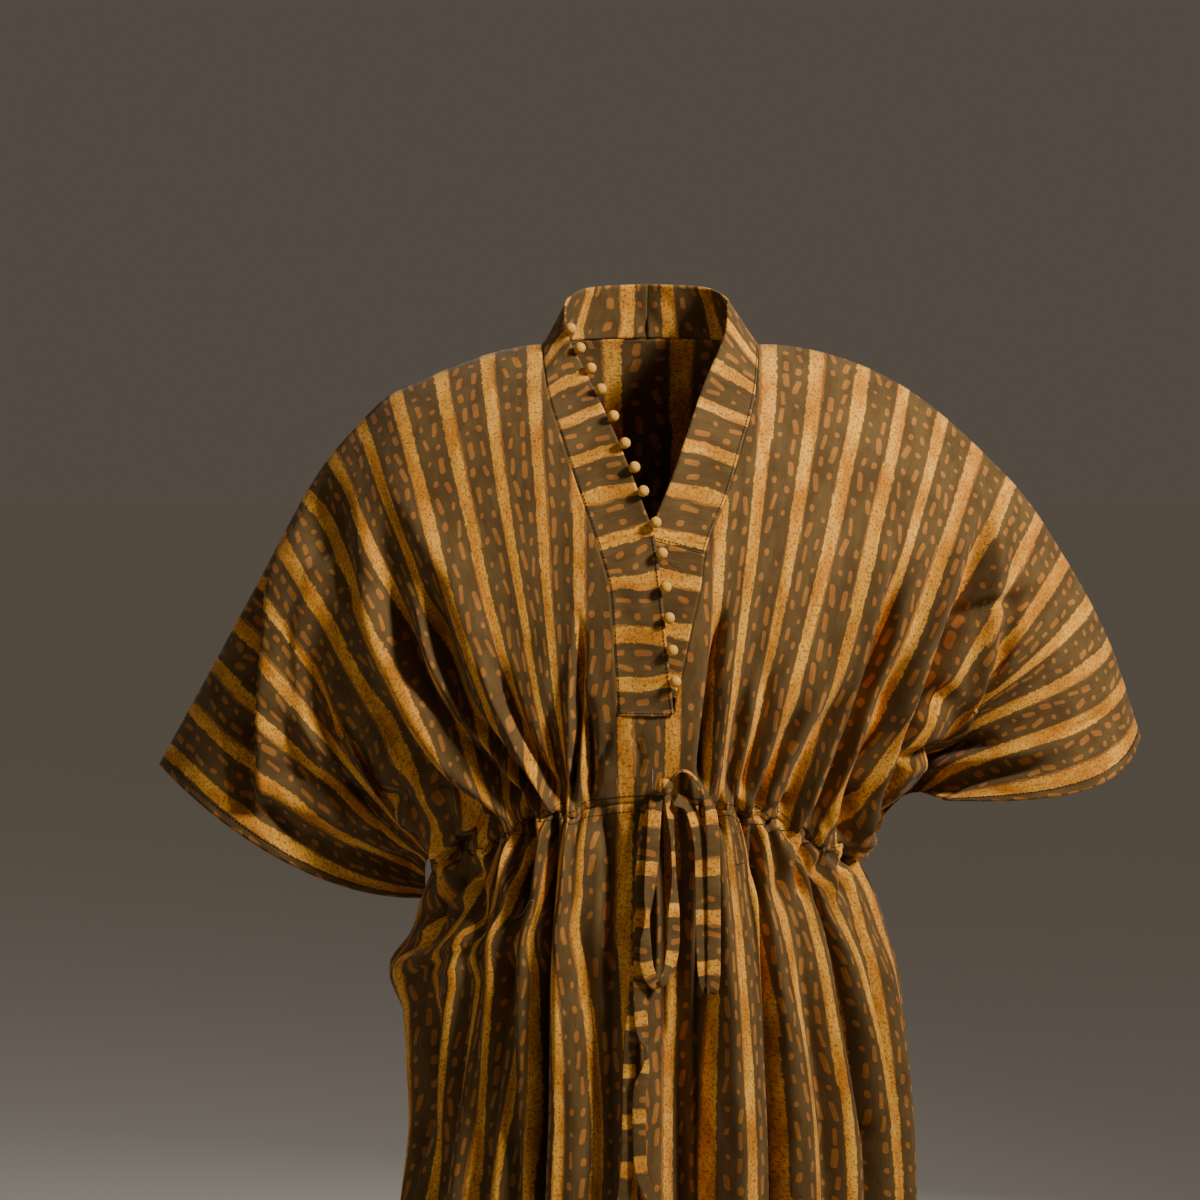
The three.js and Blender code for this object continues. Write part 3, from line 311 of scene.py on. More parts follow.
def waist_wobble(face, side, turn):
    """Millimetres by which the gathers pull the channel up or down; none at centre and sides."""
    free = ease(0.26, 0.40, turn) * (1 - ease(1.25, 1.5, turn))
    seed = 40 + (2 if face == "front" else 0) + (side > 0)
    coarse = lattice_noise(turn * 9, 0 * turn, seed)
    fine = lattice_noise(turn * 17, 0 * turn, seed + 9)
    return WAIST_UNEVEN * free * (coarse + 0.6 * fine)


def thread_foot(face, side, across):
    """End of a thread: a point of the waist ellipse, or of the underarm seam past the side."""
    turn = waist_turn(face, side, across)
    depth = -WAIST_FORE if face == "front" else WAIST_AFT
    x = WAIST_HALF_WIDTH * np.sin(turn)
    z = waist_height(face, turn) + waist_wobble(face, side, turn)
    waist = np.stack([x, WAIST_MID_Y + depth * np.cos(turn), z], -1)
    return np.where((across > SIDE_ACROSS)[..., None], underarm[side](across), waist)


quarter = np.linspace(0.0, math.pi / 2, 60)
print("channel wanders", round(float(np.ptp(waist_wobble("front", 1, quarter))), 1), "mm up and down")

# %% [markdown]
# ## Bodice and sleeves
# Front, back and sleeves are one sheet each. A cubic Bezier has two ends and two handles,
# which are just what a thread of hanging cloth needs: where it starts, how it leaves, how it
# arrives and where it ends. So every thread is one Bezier and the sheet is their family.

# %% Bodice


def back_neck_down(across):
    """How far the back's neck seam lies below the shoulder fold: a cosine across the neck."""
    inside = across < NECK_ACROSS
    return np.where(inside, BACK_NECK_DROP * np.cos(across / NECK_ACROSS * math.pi / 2), 0.0)


def bodice_side(face, side, across, down):
    """Cubic Bezier of each thread: fold, fold + leave, foot + rise, foot, at share of length."""
    row = arm_front[side](across)
    start, leave, rise = row[..., 0:3], row[..., 3:6], row[..., 6:9]
    start_down = np.zeros_like(across)
    if face == "back":
        sweep = back_sweep(across)
        leave, rise = sweep[..., 0:3], sweep[..., 3:6]
        turn = across / NECK_ACROSS * math.pi / 2
        neck_out = arm_front[side](float(NECK_ACROSS))[0]
        y = mix(NECK_CORNER_Y, BACK_NECK_Y, np.cos(turn))
        neck = np.stack([neck_out * np.sin(turn), y, BACK_NECK_Z * np.cos(turn)], -1)
        start = np.where((across < NECK_ACROSS)[..., None], neck, start)
        start_down = back_neck_down(across)
    end = thread_foot(face, side, across)
    past = np.maximum(0, across - SIDE_ACROSS) / (CUFF_ACROSS - SIDE_ACROSS)
    length = mix(WAIST_DOWN, CUFF_DOWN, past) - start_down
    f = ((down - start_down) / length)[..., None]
    g = 1 - f
    place = g**3 * start + 3 * g * g * f * (start + leave)
    place = place + 3 * g * f * f * (end + rise) + f**3 * end
    return place * np.array([side, 1, 1])


def both_sides(side_function, signed, *rest):
    """Joins a formula for each body side by the sign of the flat coordinate."""
    right = side_function(-1, np.maximum(-signed, 0.0), *rest)
    left = side_function(1, np.maximum(signed, 0.0), *rest)
    return np.where((signed < 0)[..., None], right, left)


def bodice(face, signed, down):
    """Place of the bodice or a sleeve at (signed across, down), without folds."""
    return both_sides(lambda side, across, low: bodice_side(face, side, across, low), signed, down)


print("cuff corner", bodice("front", np.array([550.0]), np.array([250.0]))[0].round())

# %% [markdown]
# ## Skirt
# Below the channel the cloth hangs free and spreads to the hem. Rings of ellipses give its
# outline, and the gathered threads drift apart until they lie evenly round each ring.

# %% Skirt


def skirt_side(face, side, across, share):
    """Ellipse ring of the skirt: half widths from the ring table, threads spread out evenly."""
    ring = skirt_ring(share)
    width = ring[..., 0] if side < 0 else ring[..., 1]
    depth = -ring[..., 2] if face == "front" else ring[..., 3]
    waist = waist_turn(face, side, across)
    turn = mix(waist, across / SIDE_ACROSS * math.pi / 2, ease(0, 0.3, share))
    z = mix(waist_height(face, waist), HEM_Z, share)
    z = z + waist_wobble(face, side, waist) * (1 - ease(0, 0.12, share))
    x = side * width * np.sin(turn)
    return np.stack([x, WAIST_MID_Y + depth * np.cos(turn), z], -1)


def skirt(face, signed, share):
    """Place of the skirt at (signed across, share of the way to the hem), without folds."""
    return both_sides(lambda side, across, low: skirt_side(face, side, across, low), signed, share)


print("hem corner", skirt("front", np.array([390.0]), np.array([1.0]))[0].round())

# %% [markdown]
# ## Panel coordinates
# The front and the back are cut with a neck opening and a shaped underarm, so a plain
# rectangle of flat coordinates doesn't fit them. `where` runs across a panel, -2 at the
# wearer's right edge and 2 at the left; `row` runs 0 at the shoulder, 1 at the waist, 2 at
# the hem. The edges of each row come from the neck seam and from the cuff and underarm.

# %% Flat place of a seam point


def flat_place(x, z):
    """Newton's method on the bodice: the (across, down) whose place has this x and z."""
    across, down = np.array(x, dtype=float), 30.0 - np.array(z, dtype=float)
    nudge = 0.5
    for _ in range(12):
        here = bodice("front", across, down)
        beside = (bodice("front", across + nudge, down) - here) / nudge
        below = (bodice("front", across, down + nudge) - here) / nudge
        a, b, c, d = beside[..., 0], below[..., 0], beside[..., 2], below[..., 2]
        miss_x, miss_z = x - here[..., 0], z - here[..., 2]
        across = across + (miss_x * d - miss_z * b) / (a * d - b * c)
        down = down + (miss_z * a - miss_x * c) / (a * d - b * c)
    return across, down


foot = flat_place(np.array([24.0]), np.array([-276.0]))[1]
print("placket ends", round(float(foot[0])), "mm below the fold in flat cloth")

# %% [markdown]
# ## Edges of each row
# The neck seam is known as a worn line, so its flat coordinates are looked up once. The outer
# edge is straight pattern work: down the cuff, then along the underarm seam to the waist.

# %% Panel edges
EDGE_ROWS = np.concatenate([np.linspace(0, PLACKET_END_ROW, 421), np.linspace(0.845, 1, 60)])


def front_inner_edge(side):
    """Neck seam in flat coordinates down to the placket's end, then the middle strip's edge."""
    along = NECK_SEAM_LENGTH[side] * np.minimum(1, EDGE_ROWS / PLACKET_END_ROW)
    seam = neck_seam[side](along)
    across, down = flat_place(side * seam[:, 0], seam[:, 1])
    across, down = np.abs(across), down.copy()
    across[0], down[0] = NECK_ACROSS, 0.0
    rest = np.maximum(0, EDGE_ROWS - PLACKET_END_ROW) / (1 - PLACKET_END_ROW)
    middle = MIDDLE_RIGHT if side < 0 else MIDDLE_LEFT
    return mix(across, middle, rest), mix(down, WAIST_DOWN, rest)


front_inner = {side: front_inner_edge(side) for side in (-1, 1)}


def inner_edge(face, side, row):
    """(across, down) of a panel's inner edge in each row of the bodice."""
    row = np.minimum(row, 1)
    if face == "front":
        across, down = front_inner[side]
        return np.interp(row, EDGE_ROWS, across), np.interp(row, EDGE_ROWS, down)
    middle = MIDDLE_RIGHT if side < 0 else MIDDLE_LEFT
    return mix(NECK_ACROSS, middle, row), WAIST_DOWN * row


def outer_edge(row):
    """(across, down) of a panel's outer edge: the cuff, then the underarm seam."""
    row = np.minimum(row, 1)
    rest = np.maximum(0, row - CUFF_END_ROW) / (1 - CUFF_END_ROW)
    cuff = CUFF_DOWN * np.minimum(1, row / CUFF_END_ROW)
    return mix(CUFF_ACROSS, SIDE_ACROSS, rest), mix(cuff, WAIST_DOWN, rest)


print("neck seam found at", len(EDGE_ROWS), "rows")

# %% [markdown]
# ## From panel coordinates to a worn place
# Flat coordinates are a straight blend between the edges of a row, and the bodice and skirt
# formulas turn them into places. Both faces use the same code with other tables.

# %% Plain place


def flat_position(face, where, row):
    """Flat (across, down): inner to outer edge outside the middle strip, straight inside it."""
    right, right_down = inner_edge(face, -1, row)
    left, left_down = inner_edge(face, 1, row)
    outer, outer_down = outer_edge(row)
    share = np.maximum(0, np.abs(where) - 1)
    inner = np.where(where < 0, right, left)
    inner_down = np.where(where < 0, right_down, left_down)
    across = np.sign(where) * mix(inner, outer, share)
    down = mix(inner_down, outer_down, share)
    in_middle = np.abs(where) <= 1
    across = np.where(in_middle, where * inner, across)
    down = np.where(in_middle, mix(right_down, left_down, (where + 1) / 2), down)
    return across, down


def plain_place(face, where, row):
    """Worn place of a panel point without folds."""
    across, down = flat_position(face, where, row)
    if face == "back":
        down = down + back_neck_down(np.abs(across)) * np.maximum(0, 1 - row)
    above = bodice(face, across, down)
    below = skirt(face, across, np.maximum(row - 1, 0))
    return np.where((row > 1)[..., None], below, above)


print("front waist centre", plain_place("front", np.array([0.0]), np.array([1.0]))[0].round())

# %% [markdown]
# ## Folds
# The tie bunches the cloth into gathers. Each gather is a round crest between narrow
# valleys, tallest just above and below the channel, and dies out at its own height. Long
# creases run from the gathers towards the shoulders, and the skirt hangs in large tubes.
# All of them only push the cloth along its own normal, so the outline tables stay in charge.

# %% Fold tables
# share of the way from placket to side, height (mm), row where it dies out above the waist,
# share of the skirt where it dies out below
GATHERS = {
    ("front", -1): [
        [0.00, 1.5, 0.86, 0.10], [0.09, 3.0, 0.72, 0.20], [0.165, 3.5, 0.70, 0.14],
        [0.25, 3.0, 0.75, 0.20], [0.345, 3.5, 0.70, 0.18], [0.42, 3.0, 0.75, 0.14],
        [0.50, 3.5, 0.66, 0.20], [0.60, 3.5, 0.72, 0.16], [0.70, 4.5, 0.60, 0.22],
        [0.825, 4.5, 0.70, 0.15], [0.92, 3.0, 0.75, 0.16], [1.00, 2.0, 0.85, 0.12],
    ],
    ("front", 1): [
        [0.00, 1.5, 0.86, 0.10], [0.14, 3.5, 0.66, 0.18], [0.23, 3.0, 0.75, 0.14],
        [0.32, 3.5, 0.66, 0.22], [0.44, 4.0, 0.62, 0.20], [0.54, 3.5, 0.72, 0.15],
        [0.64, 4.0, 0.60, 0.22], [0.73, 3.5, 0.72, 0.16], [0.817, 4.0, 0.66, 0.18],
        [0.91, 3.0, 0.75, 0.14], [1.00, 2.0, 0.85, 0.12],
    ],
    ("back", -1): [
        [0.00, 4.0, 0.60, 0.20], [0.11, 5.0, 0.45, 0.24], [0.21, 4.5, 0.60, 0.16],
        [0.32, 5.0, 0.40, 0.26], [0.43, 4.5, 0.58, 0.18], [0.55, 5.0, 0.44, 0.24],
        [0.66, 4.5, 0.60, 0.20], [0.78, 4.0, 0.55, 0.22], [0.90, 3.5, 0.70, 0.16],
        [1.00, 2.0, 0.80, 0.12],
    ],
    ("back", 1): [
        [0.00, 4.0, 0.60, 0.20], [0.11, 4.5, 0.55, 0.16], [0.21, 5.0, 0.42, 0.26],
        [0.32, 4.5, 0.60, 0.18], [0.43, 5.0, 0.46, 0.24], [0.55, 4.5, 0.62, 0.16],
        [0.66, 5.0, 0.45, 0.22], [0.78, 4.0, 0.60, 0.20], [0.90, 3.5, 0.66, 0.18],
        [1.00, 2.0, 0.80, 0.12],
    ],
}
# flat across of the skirt's tubes, crest by crest
SKIRT_CRESTS = {
    "front": [-415, -350, -290, -215, -155, -80, -22, 90, 150, 210, 275, 340, 405],
    "back": [-420, -345, -265, -190, -110, -35, 45, 120, 200, 280, 350, 420],
}
SKIRT_FOLD_HEIGHT = 10
# side, face, lower end (share, row), upper end (share, row), half width, height (mm)
CREASES = [
    [-1, "front", 0.13, 1.00, 0.055, 0.60, 8, 5],
    [-1, "front", 0.33, 1.00, 0.33, 0.22, 20, 9],
    [-1, "front", 0.42, 1.00, 0.46, 0.24, 20, 8],
    [-1, "front", 0.82, 0.86, 0.67, 0.42, 16, 12],
    [-1, "front", 0.85, 0.72, 0.74, 0.40, 14, -8],
    [-1, "front", 0.92, 0.50, 0.57, 0.18, 24, 6],
    [1, "front", 0.22, 1.00, 0.18, 0.45, 12, 5],
    [1, "front", 0.34, 1.00, 0.35, 0.33, 18, 7],
    [1, "front", 0.52, 1.00, 0.49, 0.28, 18, 7],
    [1, "front", 0.93, 0.94, 0.50, 0.12, 15, 10],
    [1, "front", 0.86, 0.72, 0.58, 0.16, 13, -9],
    [-1, "back", 0.30, 1.00, 0.28, 0.35, 18, 7],
    [-1, "back", 0.58, 1.00, 0.52, 0.30, 18, 6],
    [-1, "back", 0.84, 0.90, 0.66, 0.40, 16, 8],
    [1, "back", 0.24, 1.00, 0.26, 0.40, 16, 6],
    [1, "back", 0.50, 1.00, 0.47, 0.30, 18, 7],
    [1, "back", 0.86, 0.92, 0.64, 0.36, 16, 8],
]
CREASE_FADE = 0.12
VALLEY_SOFTNESS = 0.02
SKIRT_LENGTH = 870
BUNCHES = 19
BUNCH_HEIGHT = 3.0
BUNCH_REACH = 17
print(len(CREASES), "long creases,", sum(len(rows) for rows in GATHERS.values()), "gathers")

# %% [markdown]
# ## Fold lines drawn on an elevation
# The deepest folds are drawn as lines on a squared front elevation, 0.78 mm to a
# square with the neck at (648, 345), the way a cutter would sketch them on a fitting
# drawing. Each line is a trough (negative height) or a ridge, may be steeper on one side, and
# widens along its way. The back has its own drawing in millimetres.

# %% Fold lines
VIEW_UNIT = 0.78
TROUGH_DEPTH = 1.8
RIDGE_HEIGHT = 1.25
VIEW_NECK = np.array([648.0, 345.0])
LINE_LEAD = 11.0
# points from the gathers outwards, half width on the left and on the right of the line,
# how much wider it ends, height; widths and height in millimetres
FRONT_LINES = [
    # wearer's right, from the placket to the sleeve
    ([(590, 796), (589, 750), (587, 715), (586, 688)], 2.5, 3.0, 0.4, -9),
    ([(572, 792), (576, 750), (578, 700), (580, 640), (577, 598)], 3.0, 2.4, 0.5, -11),
    ([(563, 790), (557, 765), (551, 735), (549, 705)], 4.0, 4.0, 0.8, -7),
    ([(570, 790), (571, 740), (570, 690), (572, 640)], 4.0, 3.0, 0.6, 4),
    ([(556, 798), (541, 772), (524, 738), (508, 705), (497, 672), (492, 645)], 2.6, 5.0, 0.9, -13),
    ([(551, 800), (535, 772), (517, 738), (500, 705), (488, 672), (484, 642)], 4.0, 2.4, 0.6, 6),
    ([(540, 800), (520, 778), (495, 747), (470, 715), (452, 682), (441, 648), (435, 600),
      (433, 560)], 3.0, 4.5, 1.2, -15),
    ([(524, 800), (500, 782), (474, 752), (448, 722), (428, 692), (412, 655), (398, 610),
      (386, 565), (376, 520)], 4.0, 4.0, 1.6, -16),
    ([(530, 802), (505, 786), (480, 758), (458, 728), (436, 698), (429, 660), (425, 600),
      (424, 540)], 5.0, 3.4, 0.8, 6),
    ([(515, 818), (480, 795), (445, 765), (415, 725), (392, 680), (374, 630), (360, 575),
      (350, 515)], 9.0, 6.0, 0.6, 8),
    ([(500, 826), (455, 800), (420, 772), (392, 735), (372, 690), (352, 640)], 7.0, 7.0, 1.4, -10),
    ([(478, 640), (466, 600), (460, 560), (459, 500)], 9.0, 9.0, 0.6, 4),
    # the sleeve of the wearer's right
    ([(259, 800), (260, 762), (261, 722), (265, 680), (272, 630), (280, 580), (290, 528),
      (302, 480)], 2.6, 20.0, 0.3, 12),
    ([(250, 812), (251, 768), (253, 722), (257, 680), (264, 630), (272, 580),
      (282, 530)], 11.0, 3.4, 0.3, -8),
    ([(296, 835), (280, 818), (262, 790)], 6.0, 4.0, 0.3, -5),
    ([(385, 792), (350, 772), (318, 742), (288, 708), (266, 682)], 5.0, 9.0, 0.6, 7),
    ([(396, 803), (362, 796), (325, 782), (285, 768), (258, 752)], 6.0, 5.0, 0.8, -6),
    ([(420, 826), (370, 818), (320, 812), (280, 800), (258, 785)], 6.0, 6.0, 0.6, 5),
    ([(428, 838), (412, 816), (398, 790), (384, 762)], 7.0, 7.0, 0.8, -6),
    ([(430, 868), (380, 862), (330, 846), (290, 838), (262, 826)], 8.0, 7.0, 0.6, -5),
    ([(322, 560), (316, 520), (312, 480), (322, 450)], 9.0, 9.0, 0.5, -5),
    ([(350, 600), (345, 560), (335, 510), (338, 470)], 8.0, 8.0, 0.5, -5),
    # wearer's left, from the placket to the sleeve
    ([(701, 775), (706, 735), (712, 690), (717, 650), (722, 615), (728, 590)], 3.0, 3.0, 0.5, -12),
    ([(716, 780), (722, 735), (729, 690), (735, 650)], 4.0, 4.0, 0.8, 4),
    ([(728, 792), (734, 755), (741, 715), (747, 680)], 4.0, 4.0, 0.8, -7),
    ([(742, 792), (750, 755), (760, 715), (767, 675), (770, 640)], 3.5, 5.0, 0.9, -8),
    ([(737, 795), (746, 755), (757, 715), (773, 690), (788, 660)], 3.0, 4.0, 0.9, 5),
    ([(755, 812), (768, 780), (782, 745), (797, 715), (812, 685)], 4.0, 3.5, 0.8, -9),
    ([(764, 800), (781, 765), (800, 728), (818, 695), (836, 650)], 4.0, 5.0, 0.8, 5),
    ([(782, 820), (795, 785), (810, 750), (828, 715), (842, 680)], 4.0, 4.0, 0.8, -7),
    ([(808, 822), (829, 778), (847, 737), (862, 698), (876, 655), (886, 615), (895, 575),
      (903, 535)], 3.0, 5.0, 0.9, -14),
    ([(800, 820), (820, 778), (838, 737), (855, 698), (868, 655), (878, 610), (884, 560),
      (888, 500)], 6.0, 3.0, 0.7, 6),
    ([(838, 832), (852, 790), (866, 750), (880, 712), (896, 672), (910, 630)], 4.0, 4.5, 0.8, -11),
    ([(828, 836), (843, 795), (858, 755), (873, 715), (888, 670), (905, 625),
      (920, 575)], 5.0, 4.0, 0.7, 5),
    ([(868, 842), (884, 798), (900, 752), (915, 712), (930, 676), (946, 640), (962, 598),
      (976, 552), (986, 510), (988, 470)], 3.0, 8.0, 0.3, -17),
    ([(858, 848), (876, 802), (892, 755), (905, 712), (920, 672), (937, 625), (955, 575),
      (970, 530), (980, 490)], 8.0, 2.6, 0.2, 9),
    ([(893, 772), (906, 738), (920, 702), (934, 668), (950, 634)], 4.0, 3.0, 0.3, 6),
    # the sleeve of the wearer's left
    ([(912, 764), (938, 751), (966, 744), (1004, 741)], 4.0, 4.0, 0.3, -6),
    ([(940, 790), (975, 777), (1015, 769), (1060, 762)], 4.0, 4.0, 0.3, -5),
    ([(925, 770), (965, 762), (1010, 757), (1055, 745), (1095, 728)], 6.0, 5.0, 0.4, 5),
    ([(962, 618), (985, 606), (1010, 600), (1035, 588)], 4.0, 5.0, 0.4, -5),
    ([(925, 712), (945, 700), (965, 695)], 9.0, 9.0, 0.4, -6),
    ([(1062, 738), (1092, 722), (1118, 702)], 3.5, 3.5, 0.4, -3),
    # bunches under the channel, wearer's left
    ([(726, 802), (733, 822), (741, 850), (748, 890)], 3.0, 2.6, 0.6, 4),
    ([(737, 805), (744, 828), (752, 858), (760, 905)], 2.4, 2.4, 0.8, -7),
    ([(748, 800), (752, 818), (756, 838), (754, 862)], 2.6, 2.6, 0.3, 4),
    ([(760, 822), (764, 846), (764, 872), (761, 905)], 3.0, 3.4, 0.6, 5),
    ([(770, 828), (777, 852), (781, 880), (778, 915)], 2.6, 2.4, 0.6, -6),
    ([(798, 812), (794, 834), (791, 852), (787, 885)], 3.4, 3.0, 0.6, 5),
    ([(804, 822), (801, 842), (800, 868), (806, 910)], 2.4, 2.6, 0.5, -7),
    ([(821, 830), (819, 848), (813, 866), (818, 902)], 3.6, 3.6, 0.4, 6),
    ([(806, 858), (813, 880), (820, 903), (826, 925)], 2.4, 3.0, 0.3, -7),
    ([(827, 836), (832, 858), (834, 882), (833, 910)], 3.0, 3.0, 0.4, 5),
    ([(838, 850), (839, 870), (840, 890), (842, 915)], 2.4, 2.4, 0.5, -4),
    ([(776, 812), (786, 806), (798, 800)], 2.2, 2.2, 0.3, -4),
    ([(766, 826), (775, 822), (784, 828)], 2.2, 2.0, 0.3, -4),
    # bunches under the channel, wearer's right
    ([(543, 808), (544, 840), (540, 880), (536, 925)], 4.0, 3.6, 0.6, 6),
    ([(530, 812), (528, 840), (523, 875), (516, 915)], 2.6, 2.6, 0.6, -8),
    ([(512, 822), (508, 850), (506, 880), (504, 920)], 3.6, 3.6, 0.6, 5),
    ([(518, 842), (514, 862), (507, 890)], 2.4, 2.4, 0.4, -6),
    ([(492, 828), (486, 848), (487, 870), (490, 905)], 3.6, 3.6, 0.5, 5),
    ([(476, 820), (452, 836), (440, 852), (452, 872), (462, 886)], 4.0, 4.0, 0.3, 5),
    ([(488, 822), (468, 838), (458, 852), (470, 866)], 3.0, 3.0, 0.3, -5),
    ([(436, 838), (448, 862), (446, 884), (438, 905)], 4.0, 4.0, 0.4, 4),
    ([(462, 882), (448, 892), (434, 908), (428, 940)], 5.0, 4.0, 0.4, -8),
    # small pulls beside the foot of the placket
    ([(612, 724), (608, 745), (604, 766)], 1.8, 1.8, 0.4, -3),
    ([(603, 752), (597, 772), (598, 792)], 2.0, 2.0, 0.4, -3),
    ([(638, 736), (640, 762), (636, 786)], 2.0, 2.0, 0.4, -2),
    # the skirt, wearer's right to left
    ([(556, 815), (552, 870), (549, 930), (545, 1000), (542, 1080), (538, 1180), (536, 1300),
      (534, 1700)], 3.0, 3.0, 0.6, -13),
    ([(568, 812), (567, 870), (563, 930), (560, 1000), (558, 1080), (555, 1180), (553, 1300),
      (552, 1700)], 4.0, 9.0, 0.6, 6),
    ([(533, 830), (524, 880), (513, 925), (507, 980), (510, 1060), (512, 1180),
      (508, 1700)], 5.0, 6.0, 0.8, -10),
    ([(604, 815), (610, 870), (612, 940), (614, 1040), (616, 1180),
      (618, 1700)], 7.0, 6.0, 0.5, -8),
    ([(668, 812), (672, 870), (676, 960), (680, 1080), (684, 1200),
      (688, 1700)], 12.0, 12.0, 0.4, -12),
    ([(702, 812), (703, 880), (702, 980), (702, 1080), (703, 1200),
      (705, 1700)], 3.5, 3.0, 0.8, -8),
    ([(720, 830), (724, 900), (729, 1000), (734, 1100), (740, 1200),
      (748, 1700)], 5.0, 8.0, 0.5, 6),
    ([(752, 825), (762, 900), (768, 980), (774, 1060), (779, 1180),
      (786, 1700)], 4.0, 2.6, 0.6, -8),
    ([(816, 862), (826, 905), (838, 960), (848, 1040), (862, 1120), (872, 1200),
      (886, 1700)], 5.0, 4.0, 0.6, -11),
    ([(480, 860), (478, 920), (478, 1000), (476, 1100), (474, 1200),
      (470, 1700)], 6.0, 6.0, 0.5, -6),
    ([(470, 868), (448, 890), (425, 912), (408, 936)], 4.0, 4.0, 0.5, -7),
    ([(462, 905), (440, 925), (418, 946), (398, 962)], 4.0, 4.0, 0.5, -6),
    ([(466, 948), (440, 962), (412, 976), (392, 984)], 4.0, 4.0, 0.5, -5),
    ([(440, 1010), (436, 1080), (434, 1160), (430, 1300), (428, 1700)], 6.0, 6.0, 0.5, -6),
]
# the same for the back, in millimetres out and up
BACK_LINES = [
    ([(-12, -385), (-14, -330), (-18, -270), (-22, -210)], 4.0, 4.0, 1.2, -9),
    ([(-42, -388), (-52, -330), (-66, -270), (-78, -205), (-84, -140)], 3.5, 5.0, 1.4, -13),
    ([(-70, -392), (-92, -340), (-120, -280), (-142, -215), (-158, -150)], 3.5, 5.0, 1.4, -13),
    ([(-100, -396), (-135, -350), (-172, -295), (-205, -235), (-228, -175)], 4.0, 6.0, 1.4, -14),
    ([(-128, -402), (-175, -370), (-225, -330), (-268, -280)], 5.0, 6.0, 1.2, -12),
    ([(-56, -390), (-70, -335), (-90, -275), (-108, -210)], 6.0, 6.0, 1.0, 6),
    ([(-114, -398), (-152, -358), (-195, -310), (-232, -255)], 7.0, 7.0, 1.0, 6),
    ([(16, -385), (20, -335), (24, -280), (30, -225)], 4.0, 4.0, 1.2, -9),
    ([(46, -388), (60, -335), (74, -275), (84, -215), (92, -150)], 4.0, 4.0, 1.4, -12),
    ([(78, -393), (100, -340), (126, -285), (148, -225), (166, -165)], 4.5, 4.0, 1.4, -14),
    ([(110, -398), (146, -350), (182, -300), (214, -245), (240, -190)], 5.0, 4.0, 1.4, -13),
    ([(138, -402), (185, -362), (232, -318), (270, -262)], 5.0, 5.0, 1.2, -12),
    ([(62, -390), (82, -335), (104, -278), (120, -220)], 6.0, 6.0, 1.0, 6),
    ([(126, -400), (166, -352), (206, -300), (242, -245)], 7.0, 7.0, 1.0, 6),
    ([(-30, -405), (-34, -520), (-30, -700), (-36, -900), (-40, -1262)], 5.0, 7.0, 0.8, -12),
    ([(-86, -410), (-96, -540), (-92, -720), (-100, -900), (-108, -1262)], 6.0, 5.0, 0.8, -11),
    ([(24, -405), (28, -520), (34, -700), (30, -900), (34, -1262)], 5.0, 5.0, 0.8, -11),
    ([(82, -410), (92, -540), (98, -720), (96, -900), (104, -1262)], 5.0, 7.0, 0.8, -12),
    ([(136, -415), (150, -540), (158, -720), (160, -900), (168, -1262)], 6.0, 6.0, 0.8, -10),
]
print(len(FRONT_LINES), "front and", len(BACK_LINES), "back fold lines")

# %% [markdown]
# ## Gathers and long creases
# Cloth drawn on a cord makes round crests with sharp valleys between. The square root of a
# squared cosine has that very shape, so gathers, bunches and skirt tubes all share it. Long
# creases are softer, and a Gaussian across a line is enough for them.

# %% Gathers and creases


def fold(count):
    """2 sqrt(cos(pi count)^2 + softness) - 1: round crests at whole counts, narrow valleys."""
    return 2 * np.sqrt(np.cos(np.pi * count) ** 2 + VALLEY_SOFTNESS) - 1


def crease_height(face, side, share, row):
    """Sum of Gaussian ridges along straight lines in (share, row), eased in and out."""
    height = np.zeros_like(share)
    row_length = outer_edge(row)[0]
    for crease_side, crease_face, s_low, r_low, s_high, r_high, half, tall in CREASES:
        if crease_side != side or crease_face != face:
            continue
        f = np.clip((row - r_high) / (r_low - r_high), 0, 1)
        aside = (share - mix(s_high, s_low, f)) * row_length / half
        starts = ease(r_high - CREASE_FADE, r_high + CREASE_FADE, row)
        stops = 1 - ease(r_low - CREASE_FADE, r_low + CREASE_FADE, row)
        height += tall * starts * stops * np.exp(-aside * aside)
    return height


def gather_height(face, side, share, row):
    """Gather crest pattern times its table height, pinched in a groove at the waist channel."""
    table = np.array(GATHERS[(face, side)])
    keys = table[:, 0]
    sway = 0.10 * lattice_noise(share * 9, row * 5, 3 + side) * ease(0.0, 0.12, np.abs(row - 1))
    count = np.interp(share, keys, np.arange(len(keys))) + sway
    tall = np.interp(share, keys, table[:, 1])
    above = ease(0, 1, (row - np.interp(share, keys, table[:, 2])) / 0.55)
    below = 1 - ease(0.02, 1, (row - 1) / np.interp(share, keys, table[:, 3]))
    reach = np.where(row <= 1, above, below)
    away = np.where(row <= 1, (1 - row) * WAIST_DOWN, (row - 1) * SKIRT_LENGTH)
    groove = 1 - 0.25 * np.exp(-((away / 7) ** 2))
    return fold(count) * tall * reach * groove * 0.8


print("fold crest", round(float(fold(0.0)), 2), "valley", round(float(fold(0.5)), 2))

# %% [markdown]
# ## Drawn lines
# A drawn line pushes the cloth in or out where the line passes over it. Each place of the
# front is looked up on the elevation, its distance to the line gives a Gaussian height, and
# the two sides of the line may have their own widths, as the two flanks of a real fold do.

# %% Drawn lines


